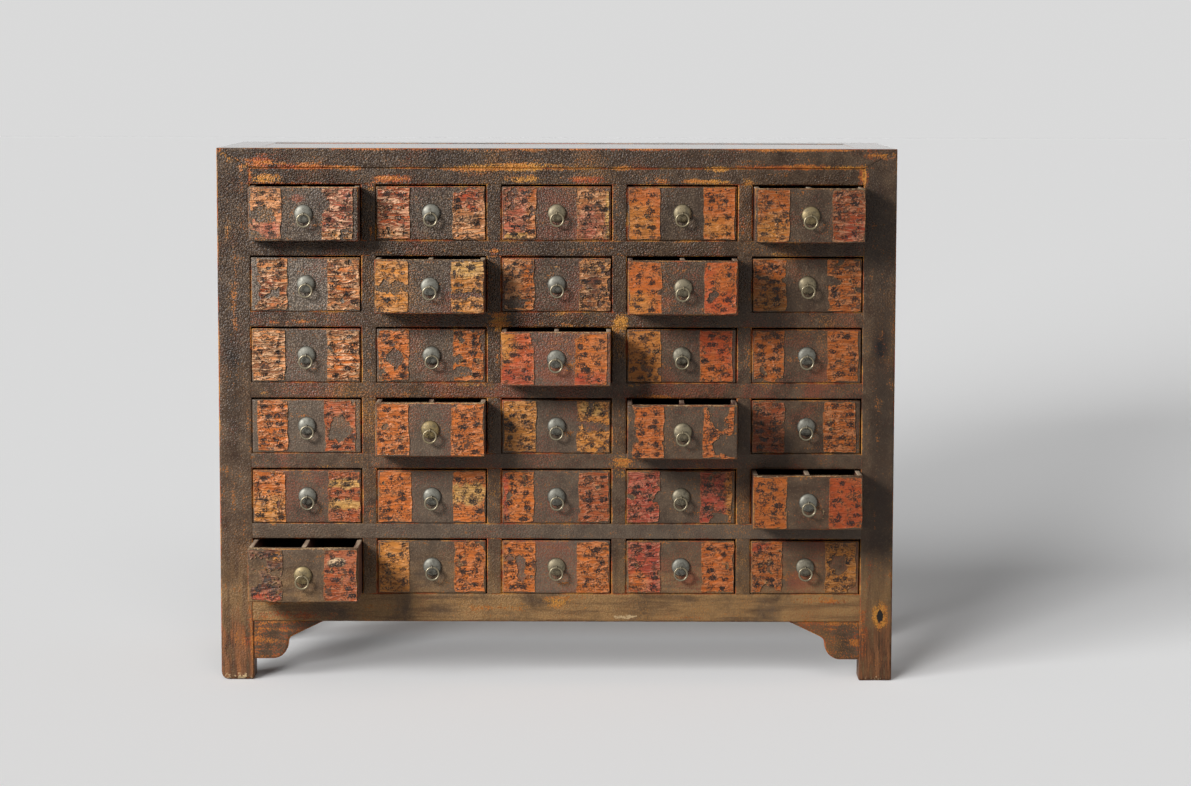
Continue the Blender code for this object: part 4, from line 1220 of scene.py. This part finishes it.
def pullTree():
    tree = bpy.data.node_groups.new("ringPull", "GeometryNodeTree")
    sockets = {"Geometry": "Geometry", **dict.fromkeys((*pulls, "Ring Turn", "Brassy", "Seed"), "Float")}
    sockets |= {"Boss Shown": "Bool", "Ring Shown": "Bool", "Metal": "Material"}
    for label, kind in sockets.items():
        tree.interface.new_socket(name=label, in_out="INPUT", socket_type="NodeSocket" + kind)
    tree.interface.new_socket(name="Geometry", in_out="OUTPUT", socket_type="NodeSocketGeometry")
    made = addNode(tree, "NodeGroupInput").outputs
    given = {label: Flow(tree, made[label]) for label in sockets}

    def position():
        return flow(tree, "GeometryNodeInputPosition")

    def vector(x=0.0, y=0.0, z=0.0):
        return flow(tree, "ShaderNodeCombineXYZ", {0: x, 1: y, 2: z})

    def loop(part, around, section):
        kind = "GeometryNodeCurvePrimitiveCircle"
        path = flow(tree, kind, {"Resolution": around, "Radius": given[part + " Radius"]})
        profile = flow(tree, kind, {"Resolution": section, "Radius": given[part + " Wire"]})
        return flow(tree, "GeometryNodeCurveToMesh", {"Curve": path, "Profile Curve": profile})

    def carry(geometry, move=(0.0, 0.0, 0.0), turn=(0.0, 0.0, 0.0)):
        inputs = {"Geometry": geometry, "Translation": move, "Rotation": turn}
        return flow(tree, "GeometryNodeTransform", inputs)

    def stamp(geometry, name, value):
        inputs = {"Geometry": geometry, "Name": name, "Value": value}
        return flow(tree, "GeometryNodeStoreNamedAttribute", inputs, data_type="FLOAT", domain="POINT")

    def joined(*shapes):
        join = addNode(tree, "GeometryNodeJoinGeometry")
        for shape in shapes:
            feed(join, {0: shape})
        return Flow(tree, join.outputs[0])

    # boss: a ball pressed into a shallow dome that faces -Y
    ball = flow(tree, "GeometryNodeMeshUVSphere", {"Segments": 40, "Rings": 24, "Radius": 1.0})
    x, y, z = parted(position())
    dome = figure("POWER", figure("MAXIMUM", z, 0.0), 0.9) * given["Boss Height"]
    behind = figure("MINIMUM", z, 0.0) * given["Boss Back"]
    pressed = vector(x * given["Boss Radius"], (dome + behind) * -1.0, y * given["Boss Radius"])
    boss = flow(tree, "GeometryNodeSetPosition", {"Geometry": ball, "Position": pressed})
    # painted shade on the boss under the eye and round its rim
    x, _, z = parted(position())
    out = figure("DIVIDE", figure("SQRT", x * x + z * z), given["Boss Radius"])
    bossShade = figure("MAXIMUM", ease(out, 0.30, 0.10, 0.25), ease(out, 0.90, 1.0, 0.6))
    boss = stamp(stamp(boss, "bossShade", bossShade), "wire", 0.0)
    ahead = given["Eye Reach"] * -1.0
    eye = carry(loop("Eye", 28, 12), turn=(0.0, math.pi / 2, 0.0))
    eye = stamp(carry(eye, vector(0.0, ahead)), "wire", 0.5)
    ring = carry(loop("Ring", 56, 14), turn=(math.pi / 2, 0.0, 0.0))
    ring = carry(ring, vector(0.0, 0.0, given["Ring Radius"] * -1.0))
    ring = carry(ring, turn=vector(0.0, given["Ring Turn"]))
    ring = stamp(carry(ring, vector(0.0, ahead, given["Ring Sag"] * -1.0)), "wire", 1.0)
    shown = []
    for label, shape in (("Boss Shown", joined(boss, eye)), ("Ring Shown", ring)):
        inputs = {"Switch": given[label], "True": shape}
        shown.append(flow(tree, "GeometryNodeSwitch", inputs, input_type="GEOMETRY"))
    # hammer dents, the same way every run
    seeded = {0: position(), 1: vector(given["Seed"], given["Seed"])}
    noise = speckle(flow(tree, "ShaderNodeVectorMath", seeded, operation="ADD"), 170.0, 2.0) - 0.5
    push = {0: flow(tree, "GeometryNodeInputNormal"), "Scale": noise * given["Dents"]}
    push = flow(tree, "ShaderNodeVectorMath", push, operation="SCALE")
    dented = flow(tree, "GeometryNodeSetPosition", {"Geometry": joined(*shown), "Offset": push})
    dented = stamp(dented, "brassy", given["Brassy"])
    dented = flow(tree, "GeometryNodeSetShadeSmooth", {"Geometry": dented})
    placed = flow(tree, "GeometryNodeInstanceOnPoints", {"Points": given["Geometry"], "Instance": dented})
    real = flow(tree, "GeometryNodeRealizeInstances", {"Geometry": placed})
    done = flow(tree, "GeometryNodeSetMaterial", {"Geometry": real, "Material": given["Metal"]})
    addNode(tree, "NodeGroupOutput", {0: done})
    return tree


ringTree = pullTree()


def makePull(name, spot, body, values, *nodes):
    spotMesh = bpy.data.meshes.new(name + "Spot")
    spotMesh.from_pydata([spot], [], [])
    holder = bpy.data.objects.new(name + "Spot", spotMesh)
    bpy.context.collection.objects.link(holder)
    growth = holder.modifiers.new("ringPull", "NODES")
    growth.node_group = ringTree
    for item in ringTree.interface.items_tree:
        if item.in_out == "INPUT" and item.name in values:
            growth[item.identifier] = values[item.name]
    depsgraph = bpy.context.evaluated_depsgraph_get()
    grown = holder.evaluated_get(depsgraph)
    mesh = bpy.data.meshes.new_from_object(grown, preserve_all_data_layers=True, depsgraph=depsgraph)
    mesh.name = name
    holder.modifiers.remove(growth)
    bpy.data.objects.remove(holder)
    bpy.data.meshes.remove(spotMesh)
    ridePiece(name, mesh, body, "aged_brass", *nodes)


def makePulls():
    rings = 0
    for place in places:
        node, ringNode = drawerNode(place), "ring_r{}_c{}".format(*place)
        middleX, middleZ = frontMiddle(place)
        spot = float(middleX), float(boxOf(node)[1][1] - drawerBox["length"]), float(middleZ)
        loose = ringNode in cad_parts
        seed = place[0] * 10 + place[1]
        values = {
            **pulls, "Ring Turn": pullChance["turn"] * math.sin(seed * 2.7), "Seed": seed * 0.31,
            "Brassy": brassyPulls.get(place, pullChance["brassy"]),
            "Boss Shown": True, "Ring Shown": not loose, "Metal": metalFinish,
        }
        makePull("pull{}{}".format(*place), spot, node, values)
        if loose:
            ringValues = {**values, "Boss Shown": False, "Ring Shown": True}
            makePull("ring{}{}".format(*place), spot, ringNode, ringValues, ringNode)
            rings += 1
    print("pulls:", len(places), "of which", rings, "have rings that swing")


makePulls()
